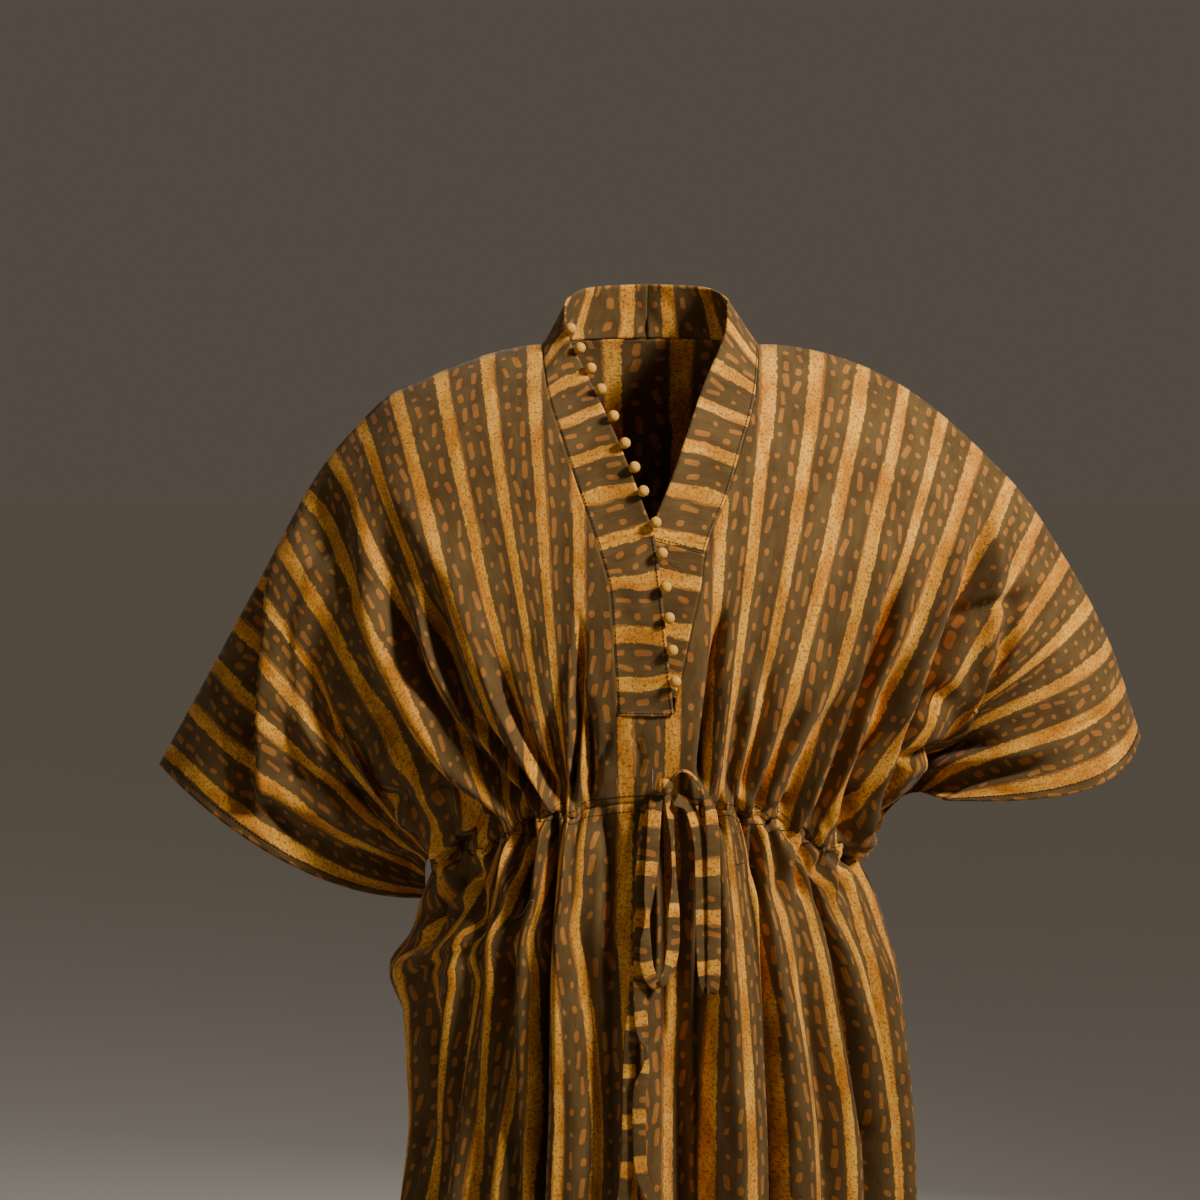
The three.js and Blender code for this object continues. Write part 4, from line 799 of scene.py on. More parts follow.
def front_view(place):
    """Where the camera sees a place, as millimetres at the garment's middle depth."""
    forward = np.array([0.0, math.cos(CAMERA_TILT), -math.sin(CAMERA_TILT)])
    upward = np.array([0.0, math.sin(CAMERA_TILT), math.cos(CAMERA_TILT)])
    from_target = place - CAMERA_TARGET
    scale = CAMERA_DISTANCE / (CAMERA_DISTANCE + from_target @ forward)
    across = from_target[..., 0] * scale + CAMERA_TARGET[0]
    return np.stack([across, (from_target @ upward) * scale + CAMERA_TARGET[2]], -1)


def line_height(spots, points, left, right, spread, tall):
    """Gaussian of the distance to a smooth line, one width a side, eased at its ends."""
    first = np.array(points[0], float)
    lead = first - unit(np.array(points[1], float) - first) * LINE_LEAD
    rows = [[index, *point] for index, point in enumerate([lead, *points])]
    line = through(rows)(np.linspace(0, len(points), 8 * len(points) + 1))
    reach = 3 * max(left, right) * (1 + spread)
    height = np.zeros(spots.shape[:-1])
    low, high = line.min(0) - reach, line.max(0) + reach
    near = np.all((spots > low) & (spots < high), -1)
    spot = spots[near]
    best, signed, share = np.full(len(spot), 1e9), np.zeros(len(spot)), np.zeros(len(spot))
    lengths = along_lengths(line) / along_lengths(line)[-1]
    for start, end, first, last in zip(line[:-1], line[1:], lengths[:-1], lengths[1:]):
        way = end - start
        f = np.clip((spot - start) @ way / (way @ way), 0, 1)
        off = spot - start - f[:, None] * way
        away = np.hypot(off[:, 0], off[:, 1])
        side = off[:, 0] * way[1] - off[:, 1] * way[0]
        closer = away < best
        best = np.where(closer, away, best)
        signed = np.where(closer, np.sign(side), signed)
        share = np.where(closer, first + f * (last - first), share)
    half = np.where(signed < 0, left, right) * (1 + spread * share)
    begins = ease(0, 2 * LINE_LEAD / along_lengths(line)[-1], share)
    ends = begins * (1 - ease(0.62, 1.0, share))
    tall = tall * (TROUGH_DEPTH if tall < 0 else RIDGE_HEIGHT)
    height[near] = tall * ends * np.exp(-((best / half) ** 2))
    return height


def drawn_height(face, place):
    """Sum of the drawn fold lines of a face at the plain places."""
    if face == "front":
        spots = front_view(place)
        scale = np.array([VIEW_UNIT, -VIEW_UNIT])
        lines = [
            ([(np.array(point) - VIEW_NECK) * scale for point in points], *rest)
            for points, *rest in FRONT_LINES
        ]
    else:
        spots, lines = place[..., [0, 2]], BACK_LINES
    height = np.zeros(place.shape[:-1])
    for points, left, right, spread, tall in lines:
        height += line_height(spots, points, left, right, spread, tall)
    return height


print("neck point on the elevation", front_view(np.zeros((1, 3)))[0].round(1))

# %% [markdown]
# ## Bunches at the channel
# Between the large gathers the channel crumples into many small upright bunches. Drawing each
# would take a long table, so a wandering count makes them, each with its own height and reach.

# %% Bunches


def waist_share(where):
    """Share of the way round the front waist of each column, from the table for the drawing in."""
    across = np.abs(flat_position("front", where, np.ones_like(where))[0])
    return np.where(where < 0, front_draw[-1](across)[..., 0], front_draw[1](across)[..., 0])


def bunch_height(round_waist, drop, away):
    """Narrow upright crests across the channel, each with its own height and reach."""
    count = round_waist * BUNCHES + 0.5 * lattice_noise(round_waist * 11, drop / 30, 31)
    lean = lattice_noise(round_waist * 13, np.sign(drop) + 5, 32)
    reach = BUNCH_REACH * (1 + 0.7 * lattice_noise(round_waist * 12, np.sign(drop) + 9, 33))
    tall = BUNCH_HEIGHT * (1 + 0.6 * lean) * ease(0.16, 0.24, np.abs(round_waist))
    pinch = 1 - 0.4 * np.exp(-((away / 3.0) ** 2))
    return fold(count) * tall * pinch * np.exp(-((away / reach) ** 2))


print(BUNCHES, "bunches round each quarter, up to", BUNCH_HEIGHT, "mm high")

# %% [markdown]
# ## All folds together
# Every kind of fold is a height, and heights can be added. Each one is eased out before the
# seams, so panels still meet there, and a slow drift keeps the plain cloth from looking ironed.

# %% All folds
CHANNEL_GROOVE = 0.7
CLOTH_DRIFT = 1.6


def fold_height(face, where, row):
    """All folds of a panel point, as a height along the cloth's normal in millimetres."""
    share = np.maximum(0, np.abs(where) - 1)
    across, _ = flat_position(face, where, row)
    beside_side = 1 - ease(0.94, 1, share)
    beside_middle = ease(0, 0.08, share) * beside_side
    edges = ease(0, 0.05, share) * (1 - ease(0.95, 1, share)) * ease(0, 0.1, row)
    height = np.zeros_like(share)
    for side in (-1, 1):
        one = gather_height(face, side, share, row) * beside_middle
        creases = crease_height(face, side, share, np.minimum(row, 1)) * (1 - ease(1, 1.1, row))
        one += creases * edges
        height = np.where(np.sign(where + 1e-9) == side, one, height)
    below = np.maximum(0, row - 1)
    crests = np.array(SKIRT_CRESTS[face])
    tubes = fold(np.interp(across, crests, np.arange(len(crests))))
    height += tubes * SKIRT_FOLD_HEIGHT * ease(0.03, 0.2, below) * beside_side
    away = np.where(row <= 1, (1 - row) * WAIST_DOWN, below * SKIRT_LENGTH)
    height -= CHANNEL_GROOVE * np.exp(-((away / 3) ** 2))
    free = ease(0, 0.035, share) * (1 - ease(0.965, 1, share)) * ease(0, 0.05, row)
    in_strip = (np.abs(where) <= 1) & (row > PLACKET_END_ROW)
    free = np.where(in_strip, ease(PLACKET_END_ROW, 0.9, row), free)
    free = np.where((row > 1) & (share < 0.5), 1.0, free)
    height += drawn_height(face, plain_place(face, where, row)) * free
    drop = np.where(row <= 1, (row - 1) * WAIST_DOWN, below * SKIRT_LENGTH)
    round_waist = waist_share(where) if face == "front" else share
    height += bunch_height(round_waist * np.sign(where + 1e-9), drop, away) * beside_side
    drift = lattice_noise(share * 7, row * 6, 33) + 0.5 * lattice_noise(share * 15, row * 12, 34)
    height += CLOTH_DRIFT * drift * edges * ease(0.05, 0.2, row)
    return height


waist_line = np.linspace(-2, 2, 400)
highest = fold_height("front", waist_line, 0 * waist_line + 0.97).max()
print("highest fold", round(float(highest), 1), "mm")

# %% [markdown]
# ## Worn place with folds
# The cloth's normal is the cross product of two small steps on the plain surface. Moving each
# point along it by the fold height gives the worn, folded cloth.

# %% Worn place
NUDGE = 0.002


def panel_place(face, where, row, lift=0.0):
    """Plain place plus (fold height + lift) along the normal found from two small nudges."""
    where, row = np.broadcast_arrays(np.asarray(where, float), np.asarray(row, float))
    here = plain_place(face, where, row)
    sideways = np.where(where > 0, -NUDGE, NUDGE)
    beside = (plain_place(face, where + sideways, row) - here) / sideways[..., None]
    step = np.where((row > 1) | (row < NUDGE), NUDGE, -NUDGE)
    along = (plain_place(face, where, row + step) - here) / step[..., None]
    out = np.cross(along, beside)
    out /= np.linalg.norm(out, axis=-1, keepdims=True)
    height = fold_height(face, where, row) + lift
    return here + out * (height if face == "front" else -height)[..., None]


print("cuff at the fold", panel_place("front", np.array([2.0]), np.array([0.0]))[0].round())

# %% [markdown]
# ## From grids to meshes
# A panel is one or more grids of points. They are joined into one mesh, points that meet are
# welded, and each point carries its flat coordinates as a UV map in metres. Solidify then
# gives the sheet its thickness inwards, so the outer face stays where it was computed.

# %% Mesh helpers
CLOTH_THICKNESS = 1.1


def grid_faces(rows, columns, first, flip):
    """Four corners of each cell of a rows x columns grid, wound down then across."""
    index = first + np.arange(rows * columns).reshape(rows, columns)
    corners = [index[:-1, :-1], index[1:, :-1], index[1:, 1:], index[:-1, 1:]]
    quads = np.stack(corners, -1).reshape(-1, 4)
    return quads[:, ::-1] if flip else quads


def weld(points, faces):
    """Points closer than 5 microns become one; faces keep their corners' new numbers."""
    keys = np.round(points * 200).astype(np.int64)
    _, first, renamed = np.unique(keys, axis=0, return_index=True, return_inverse=True)
    return points[first], renamed.reshape(-1)[faces]


def sheet_mesh(name, grids, flip=False):
    """One mesh from (points, uv) grids in millimetres; UVs become metres of flat cloth.

    A cell with two corners in one place becomes a triangle, so poles close.
    """
    points, uvs, faces, first = [], [], [], 0
    for place, flat in grids:
        rows, columns = place.shape[:2]
        points.append(place.reshape(-1, 3))
        uvs.append(flat.reshape(-1, 2))
        faces.append(grid_faces(rows, columns, first, flip))
        first += rows * columns
    points, uvs, faces = np.concatenate(points), np.concatenate(uvs), np.concatenate(faces)
    loose_faces = faces
    points, faces = weld(points, faces)
    kept = faces != np.roll(faces, -1, axis=1)
    real = kept.sum(1) > 2
    faces, loose_faces, kept = faces[real], loose_faces[real], kept[real]
    corners = kept.sum(1)
    mesh = bpy.data.meshes.new(name)
    mesh.vertices.add(len(points))
    mesh.vertices.foreach_set("co", (points * MM).ravel())
    mesh.loops.add(int(corners.sum()))
    mesh.loops.foreach_set("vertex_index", faces[kept].astype(np.int32))
    mesh.polygons.add(len(faces))
    mesh.polygons.foreach_set("loop_start", (np.cumsum(corners) - corners).astype(np.int32))
    mesh.update(calc_edges=True)
    layer = mesh.uv_layers.new(name="flat_cloth")
    layer.data.foreach_set("uv", (uvs[loose_faces[kept]] * MM).ravel())
    mesh.polygons.foreach_set("use_smooth", np.ones(len(faces), dtype=bool))
    mesh.validate()
    return mesh


print("a 3 x 3 grid has", len(grid_faces(3, 3, 0, False)), "cells")

# %% [markdown]
# ## A piece on its body
# Each finished mesh becomes one object. It rides on the one body of the garment and hides the
# solids it stands for. A sheet also gets its thickness here.

# %% Pieces


def add_object(name, mesh, nodes, thickness=0.0):
    """Links a finished mesh as a piece on the root body, with Solidify where it is a sheet."""
    piece = bpy.data.objects.new(name, mesh)
    bpy.context.scene.collection.objects.link(piece)
    if thickness:
        solid = piece.modifiers.new("thickness", "SOLIDIFY")
        solid.thickness = thickness * MM
        solid.offset = -1.0
        solid.use_rim = True
    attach(piece, "root")
    if nodes:
        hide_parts(*nodes)
    return piece


print("cloth is", CLOTH_THICKNESS, "mm thick")

# %% [markdown]
# ## Front and back
# Each panel is made in two meshes that meet on the waist channel, the bodice with its
# sleeve and the skirt, so that each can be dense enough for the gathers. The cloth is one
# piece in the real garment, so their grids share the same columns along the waist.

# %% Body panels
SIDE_STEPS = 190
MIDDLE_STEPS = 16
NECK_STEPS = 88
CHEST_STEPS = 28
SKIRT_STEPS = 108


def wheres(part):
    """Columns of one part of a panel, outer edge to middle strip to outer edge."""
    share = np.linspace(0, 1, SIDE_STEPS + 1)
    middle = np.linspace(-1, 1, MIDDLE_STEPS + 1)
    return {"right": -1 - share[::-1], "middle": middle, "left": 1 + share}[part]


def panel_grid(face, where, rows, shift):
    """Grid of worn places and flat coordinates for every (row, where)."""
    w, r = np.meshgrid(where, rows)
    across, down = flat_position(face, w, r)
    down = np.where(r > 1, WAIST_DOWN + (r - 1) * SKIRT_LENGTH, down)
    return panel_place(face, w, r), np.stack([across + shift[0], down + shift[1]], -1)


NECK_ROWS = np.linspace(0, PLACKET_END_ROW, NECK_STEPS + 1)
CHEST_ROWS = np.linspace(PLACKET_END_ROW, 1, CHEST_STEPS + 1)
BODICE_ROWS = np.concatenate([NECK_ROWS, CHEST_ROWS[1:]])
SKIRT_ROWS = 1 + np.linspace(0, 1, SKIRT_STEPS + 1) ** 1.35


def bodice_mesh(face, shift):
    """The front has no middle strip above the placket's end; the back has one all the way."""
    sides = [panel_grid(face, wheres(part), BODICE_ROWS, shift) for part in ("right", "left")]
    middle_rows = CHEST_ROWS if face == "front" else BODICE_ROWS
    middle = panel_grid(face, wheres("middle"), middle_rows, shift)
    return sheet_mesh(face, sides + [middle], face == "back")


def skirt_mesh(face, shift):
    """All three parts from the waist to the hem."""
    grids = [panel_grid(face, wheres(part), SKIRT_ROWS, shift) for part in ("right", "middle", "left")]
    return sheet_mesh(face + "_skirt", grids, face == "back")


FLAT_SHIFT = {"front": (0.0, 0.0), "back": (0.0, -7.0)}
panels = {}
for face in ("front", "back"):
    top, low = bodice_mesh(face, FLAT_SHIFT[face]), skirt_mesh(face, FLAT_SHIFT[face])
    panels[face] = add_object(f"{face}_bodice", top, [face], CLOTH_THICKNESS)
    panels[face + "_skirt"] = add_object(f"{face}_skirt", low, [face], CLOTH_THICKNESS)
for name, piece in panels.items():
    print(name, len(piece.data.polygons), "faces")

# %% [markdown]
# ## Neck band and placket
# The band is a strip cut across the stripes, so its gold bars lie crosswise. It runs from
# the middle of the back neck over the shoulder and down the V. Its inner edge follows a
# table of places and its outer edge is the neck seam itself, so the two never part.

# %% Band tables
# length along the seam (counted backwards round the neck), out, y, z of the free edge
BAND_EDGE = {
    -1: [
        [-110, 0, 62, 48], [-60, 45, 47, 45], [-20, 62, 22, 37], [0, 65, 6, 27],
        [20, 61.5, -13, 5], [39, 48, -33, -22], [75, 29, -73, -61], [113, 14, -96, -97],
        [143, 4, -109, -124], [165, -3, -115, -143], [194, -8, -124.5, -184],
        [241, -12.5, -130.5, -226], [300, -17.5, -130.5, -276],
    ],
    1: [
        [-110, 0, 62, 48], [-60, 45, 47, 45], [-20, 61, 22, 37], [0, 62, 6, 30],
        [20, 59, -12, 8], [45, 43, -40, -28], [82, 29, -74, -66], [118, 16, -94, -102],
        [148, 4, -105, -130], [164.8, -1, -109, -146],
    ],
}
UNDER_PLACKET_EDGE = [
    [0.46, -1, -109, -146], [0.53, -10, -114, -172], [0.60, -12, -117.5, -196],
    [0.68, -12, -121, -220], [0.76, -12, -122.5, -245], [0.80, -12, -122.5, -258],
]
NECK_BACK_LENGTH = 110
BAND_WIDTH = 42
BAND_THICKNESS = 1.8
BAND_HOLLOW = 1.2
PLACKET_LIFT = 3
BAND_SKEW = 3.0
SEAM_GAP = 0.3
PLACKET_LANDS = 0.80
BAND_COLUMNS = 20
band_edge = {side: through(rows) for side, rows in BAND_EDGE.items()}
under_edge = through(UNDER_PLACKET_EDGE)
print("bands are", BAND_WIDTH, "mm wide")

# %% [markdown]
# ## Sewing the bands on
# A band is a ruled surface: a straight line from its free edge to the seam, hollowed a little as
# a folded strip is. The over band leaves its seam at the placket and lands on the front.

# %% Bands
BAND_SOFT = 1.8


def seam_place(side, station):
    """Neck seam: along the back's top edge before station 0, along the front's inner edge after."""
    behind = panel_place("back", side * (1 + np.minimum(station, 0)), np.zeros_like(station))
    before = panel_place("front", np.full_like(station, side), np.maximum(station, 0))
    return np.where((station < 0)[..., None], behind, before)


def free_place(side, station):
    """Free edge of a band at a station, from its table of lengths."""
    before = NECK_SEAM_LENGTH[side] * station / PLACKET_END_ROW
    length = np.where(station < 0, station * NECK_BACK_LENGTH, before)
    return band_edge[side](length) * np.array([side, 1, 1])


def band_place(side, station, share):
    """Straight from free edge to seam, hollowed by a half sine; the over band lands flat below."""
    place = mix(free_place(side, station), seam_place(side, station), share[..., None])
    hollow = BAND_HOLLOW * np.sin(np.pi * share)
    soft = BAND_SOFT * lattice_noise(station * 12, share * 2.2, 20 + side)
    soft = soft * np.sin(np.pi * share) ** 0.7
    place = place + np.stack([0 * hollow, hollow + soft, 0.4 * soft], -1)
    if side < 0:
        landed = panel_place("front", 1 - 2 * share, np.full_like(share, PLACKET_END_ROW))
        ahead = -PLACKET_LIFT * (1 - 0.6 * share)
        landed = landed + np.stack([0 * share, ahead, np.full_like(share, SEAM_GAP)], -1)
        f = ease(PLACKET_LANDS, PLACKET_END_ROW, station)[..., None]
        place = mix(place, landed, f)
    return place


def band_grid(side, stations):
    """Grid of band places with (length along, width across) as its flat coordinates."""
    share, station = np.meshgrid(np.linspace(0, 1, BAND_COLUMNS + 1), stations)
    place = band_place(side, station, share)
    length = along_lengths(place[:, BAND_COLUMNS // 2])
    skew = lattice_noise(station * 9, share * 1.3, 50 + side)
    skew = BAND_SKEW * (skew + 0.4 * lattice_noise(station * 22, share * 3, 52))
    return place, np.stack([length[:, None] + skew, share * BAND_WIDTH], -1)


UNDER_PRINT_SHIFT = -6.5


def placket_grid():
    """Under placket: from its hidden edge to the front's left inner edge."""
    rows = np.linspace(CROSS_SEAM_ROW, UNDER_PLACKET_END_ROW, 70)
    share, row = np.meshgrid(np.linspace(0, 1, BAND_COLUMNS + 1), rows)
    place = mix(under_edge(row), panel_place("front", np.full_like(row, 1.0), row), share[..., None])
    place[..., 1] += BAND_HOLLOW * np.sin(np.pi * share)
    length = along_lengths(place[:, BAND_COLUMNS // 2])
    length = np.broadcast_to(length[:, None], share.shape) + UNDER_PRINT_SHIFT
    return place, np.stack([length, share * BAND_WIDTH], -1)


neck_stations = np.linspace(-1, 0, 60)
over_stations = np.concatenate([neck_stations, np.linspace(0, PLACKET_END_ROW, 200)[1:]])
under_stations = np.concatenate([neck_stations, np.linspace(0, CROSS_SEAM_ROW, 120)[1:]])
over_mesh = sheet_mesh("neck_band_over", [band_grid(-1, over_stations)], True)
under_mesh = sheet_mesh("neck_band_under", [band_grid(1, under_stations)])
placket_mesh = sheet_mesh("under_placket", [placket_grid()])
band_over = add_object("neck_band_over", over_mesh, ["band_over"], BAND_THICKNESS)
band_under = add_object("neck_band_under", under_mesh, ["band_under"], BAND_THICKNESS)
placket_under = add_object(
    "under_placket", placket_mesh, ["placket_under"], BAND_THICKNESS)
print("over band", len(band_over.data.polygons), "faces")

# %% [markdown]
# ## Covered buttons
# Fourteen small balls, each a scrap of plain golden cotton gathered over a core and tied off
# into a short shank. A ball is a ring profile turned about its shank, with shallow pleats
# that fade towards the crown, as the gathered cloth leaves them.

# %% Buttons
# lengths along the neck seam at which the buttons stand
BUTTON_PLACES = [17, 28, 39, 53, 72, 92, 111, 130, 157, 175, 192, 215, 243, 270]
BUTTON_RADIUS = 4.4
BUTTON_TILT = 1.1
BUTTON_INSET = 0.5
BALL_CENTRE = 5.3
BUTTON_PLEATS = 9
PLEAT_DEPTH = 0.05
# height along the axis, radius
SHANK = [[0.0, 0.0], [0.0, 1.6], [0.6, 1.25], [1.3, 1.2]]


def frame_along(axis):
    """Two unit vectors at right angles to an axis and to each other."""
    helper = np.array([0.0, 0.0, 1.0]) if abs(axis[2]) < 0.9 else np.array([1.0, 0.0, 0.0])
    first = unit(np.cross(helper, axis))
    return first, np.cross(axis, first)


def button_place(index):
    """Foot and axis of a button: on the band's free edge, leaning out of the band's plane."""
    length = BUTTON_PLACES[index]
    stations = np.array([length - 1, length, length + 1]) / NECK_SEAM_LENGTH[-1] * PLACKET_END_ROW
    low, here, high = free_place(-1, stations)
    seam = seam_place(-1, stations[1:2])[0]
    along = unit(high - low)
    away = here - seam
    away = unit(away - along * np.dot(away, along))
    inward = unit(np.cross(along, away))
    inward = inward if inward[1] > 0 else -inward
    foot = here + inward * BUTTON_INSET + away * SEAM_GAP
    axis = unit(away - inward * BUTTON_TILT)
    return foot + axis * SEAM_GAP, axis


def button_mesh(name, foot, axis, turn):
    """Rings round the axis: a shank, then a ball whose radius dips in pleats near the shank."""
    angles = np.linspace(0.30, math.pi, 18)
    ball = np.stack([BALL_CENTRE - BUTTON_RADIUS * np.cos(angles), BUTTON_RADIUS * np.sin(angles)], -1)
    profile = np.concatenate([SHANK, ball])
    profile[-1, 1] = 0.0
    around = np.linspace(0, 2 * math.pi, 29)
    height, radius = profile[:, 0][:, None], profile[:, 1][:, None]
    crown = ease(3.0, 9.5, height)
    pleat = 1 - PLEAT_DEPTH * (1 - crown) * (0.5 + 0.5 * np.cos(around * BUTTON_PLEATS + turn))
    first, second = frame_along(axis)
    radius = radius * pleat
    ring = radius[..., None] * (np.cos(around)[:, None] * first + np.sin(around)[:, None] * second)
    place = foot + height[..., None] * axis + ring
    flat = np.stack(np.broadcast_arrays(around * BUTTON_RADIUS, height), -1)
    return sheet_mesh(name, [(place, flat)])


buttons = []
for index in range(len(BUTTON_PLACES)):
    foot, axis = button_place(index)
    name = f"covered_button_{index + 1:02d}"
    mesh = button_mesh(name, foot, axis, index * 1.7)
    buttons.append(add_object(name, mesh, [f"button_{index + 1:02d}"]))
print(len(buttons), "buttons of", len(buttons[0].data.polygons), "faces")

# %% [markdown]
# ## Waist tie
# The tie is a narrow strip of the same print, folded and stitched along its edge. It comes
# out of the channel at the centre front, is tied in a bow, and its loops and tails hang on
# the skirt. Each is a rounded flat section carried along a path that stays in front of the
# skirt's crests.

# %% Tie tables
TIE_WIDTH = 10
TIE_THICKNESS = 1.6
TIE_CLEAR = 1.5
TIE_STEPS = 10
# x, distance in front of the skirt's crests, z, turn of the strip in degrees
TIES = {
    "tie_bow_right": [
        [5, 5, -336.5, 20], [3.5, 9, -348.5, 5], [1.5, 11, -380.5, 12], [-1, 13, -409, 45],
        [-2, 14.5, -426, 75], [-3.5, 13, -446.5, 30], [-2, 11, -463.5, 10], [4, 8, -474, 30],
        [12, 5, -469, 40], [16.5, 4, -450.5, 20], [17.5, 3, -426, 30], [17.5, 3, -399.5, 70],
        [16.5, 3, -371.5, 75], [14.5, 2.5, -348.5, 60], [12.5, 1.5, -336, 60],
    ],
    "tie_bow_left": [
        [16, 6, -325, 80], [21.5, 6.5, -318.5, 85], [29, 6.5, -319, 88], [37.5, 7.5, -328, 80],
        [43.5, 8, -341, 50], [46.5, 8, -358, 15], [47.5, 8, -399.5, 5], [47.5, 8, -442.5, 0],
        [47, 8, -471, 0], [44.5, 6.5, -480.5, 0], [41, 5, -473, 5], [39, 4, -446.5, 10],
        [38.5, 3.5, -409, 10], [37, 3, -373, 20], [30, 3, -347, 30], [19, 4.5, -339.5, 20],
    ],
    "tie_tail_right": [
        [5, 2.5, -337, 20], [-1, 2.5, -360, 10], [-5, 6, -382.5, 5], [-6, 6, -418.5, 5],
        [-7, 6, -448.5, 0], [-8, 5.5, -475.5, 5], [-6.5, 5.5, -505, 10], [-3, 5.5, -523, 80],
        [-3, 5.5, -537, 60],
        [-8, 5.5, -556, 10], [-8, 5, -594, 5], [-6, 5, -618, 20], [2, 5, -640, 40],
        [7, 5, -672, 20], [7, 5, -717, 5],
    ],
    "tie_tail_left": [
        [1.5, -3.9, -341.5, 10], [-4, 0.5, -362, 5], [-7, 2, -409, 0], [-9, 2, -456, 0],
        [-12, 2, -493.5, 5], [-15, 2, -524, 10], [-16, 2, -567, 15], [-17, 2, -608, 10],
        [-20, 2, -640, 10], [-22, 2, -684, 5],
    ],
}
GATHER_CREST = 4.5
print(len(TIES), "strips, each", TIE_WIDTH, "mm wide")

# %% [markdown]
# ## Carrying the strip along its path
# A flat strip that turns as it hangs is a section carried along a smooth path: a rounded
# rectangle, cupped a little, turned by the table's angle. Its ends close in a point each.

# %% Ties
SECTION_POINTS = 25


def crest_front(x, z):
    """y of the skirt's foremost crests: ring ellipse at (x, z), minus fold height and a margin."""
    share = np.clip((WAIST_FRONT_Z - z) / (WAIST_FRONT_Z - HEM_Z), 0, 1)
    ring = skirt_ring(share)
    width = np.where(x < 0, ring[..., 0], ring[..., 1])
    swell = mix(GATHER_CREST, SKIRT_FOLD_HEIGHT, ease(0.03, 0.2, share))
    return WAIST_MID_Y - ring[..., 2] * np.sqrt(1 - (x / width) ** 2) - swell - TIE_CLEAR


def strip_grid(rows):
    """Rounded flat section carried along the path: width along `side`, thickness across it."""
    path = through([[index, *row] for index, row in enumerate(rows)])
    at = path(np.linspace(0, len(rows) - 1, (len(rows) - 1) * TIE_STEPS + 1))
    x, ahead, z, turn = at[:, 0], at[:, 1], at[:, 2], np.radians(at[:, 3])
    centre = np.stack([x, crest_front(x, z) - ahead, z], -1)
    along = unit(np.gradient(centre, axis=0))
    side = np.stack([np.cos(turn), np.sin(turn), 0 * turn], -1)
    side = unit(side - along * np.sum(side * along, -1, keepdims=True))
    outward = np.cross(side, along)
    around = np.linspace(0, 2 * math.pi, SECTION_POINTS)
    wide = np.sign(np.cos(around)) * np.abs(np.cos(around)) ** 0.45 * TIE_WIDTH / 2
    thick = np.sign(np.sin(around)) * np.abs(np.sin(around)) ** 0.6 * TIE_THICKNESS / 2
    cup = 0.35 * (wide / (TIE_WIDTH / 2)) ** 2
    ring = wide[:, None] * side[:, None, :] + (thick + cup)[:, None] * outward[:, None, :]
    place = centre[:, None, :] + ring
    end_first, end_last = place[:1].mean(1, keepdims=True), place[-1:].mean(1, keepdims=True)
    ends = [np.repeat(end, SECTION_POINTS, 1) for end in (end_first, end_last)]
    place = np.concatenate([ends[0], place, ends[1]])
    length = along_lengths(centre)
    length = np.concatenate([length[:1], length, length[-1:]])
    flat = np.stack(np.broadcast_arrays(length[:, None], wide + TIE_WIDTH / 2), -1)
    return place, flat, centre


ties = {}
for name, rows in TIES.items():
    place, flat, centre = strip_grid(rows)
    mesh = sheet_mesh(name, [(place, flat)])
    ties[name] = add_object(name.replace("tie_", "waist_tie_"), mesh, [name])
    print(name, round(along_lengths(centre)[-1]), "mm long")

# %% [markdown]
# ## Knot
# The knot is the strip wrapped over itself and pulled tight. Modelling each turn would hide most
# of the cloth inside, so it is a flattened ball with two diagonal grooves between the wraps.

# %% Knot
KNOT_AT = np.array([11.1, -131.6, -329.2])
KNOT_RADIUS = 6.4
KNOT_HALF_LENGTH = 5.8
KNOT_GROOVE = 0.13


def knot_mesh():
    """A ball flattened along its axis, with two diagonal grooves between the wraps."""
    axis = unit(np.array([0.6, 0.0, 0.8]))
    first, second = frame_along(axis)
    turns = np.linspace(0, 2 * math.pi, 49)
    polar, around = np.meshgrid(np.linspace(0, math.pi, 33), turns, indexing="ij")
    wrap = np.sin(1.5 * around + 1.6 * polar) / 0.3
    groove = 1 - KNOT_GROOVE * np.exp(-(wrap**2)) * np.sin(polar)
    radius = KNOT_RADIUS * groove * np.sin(polar) ** 0.8
    height = -KNOT_HALF_LENGTH * np.cos(polar)
    ring = np.cos(around)[..., None] * first + np.sin(around)[..., None] * second
    place = KNOT_AT + height[..., None] * axis + radius[..., None] * ring
    return sheet_mesh("tie_knot", [(place, np.stack([around * 8, polar * 10], -1))])


knot = add_object("waist_tie_knot", knot_mesh(), ["tie_knot"])
print("knot of", len(knot.data.polygons), "faces")

# %% [markdown]
# ## Print, weave and cloth finish
# The cotton is block printed: gold stripes run the length of the cloth, and between two
# stripes stand two columns of small rust dashes and dots. The print is worked out from the
# flat coordinates, so it bends with the cloth. One node group makes the print and another
# makes the weave; both are shared by the body cloth and the crosswise strips.

# %% Node helpers


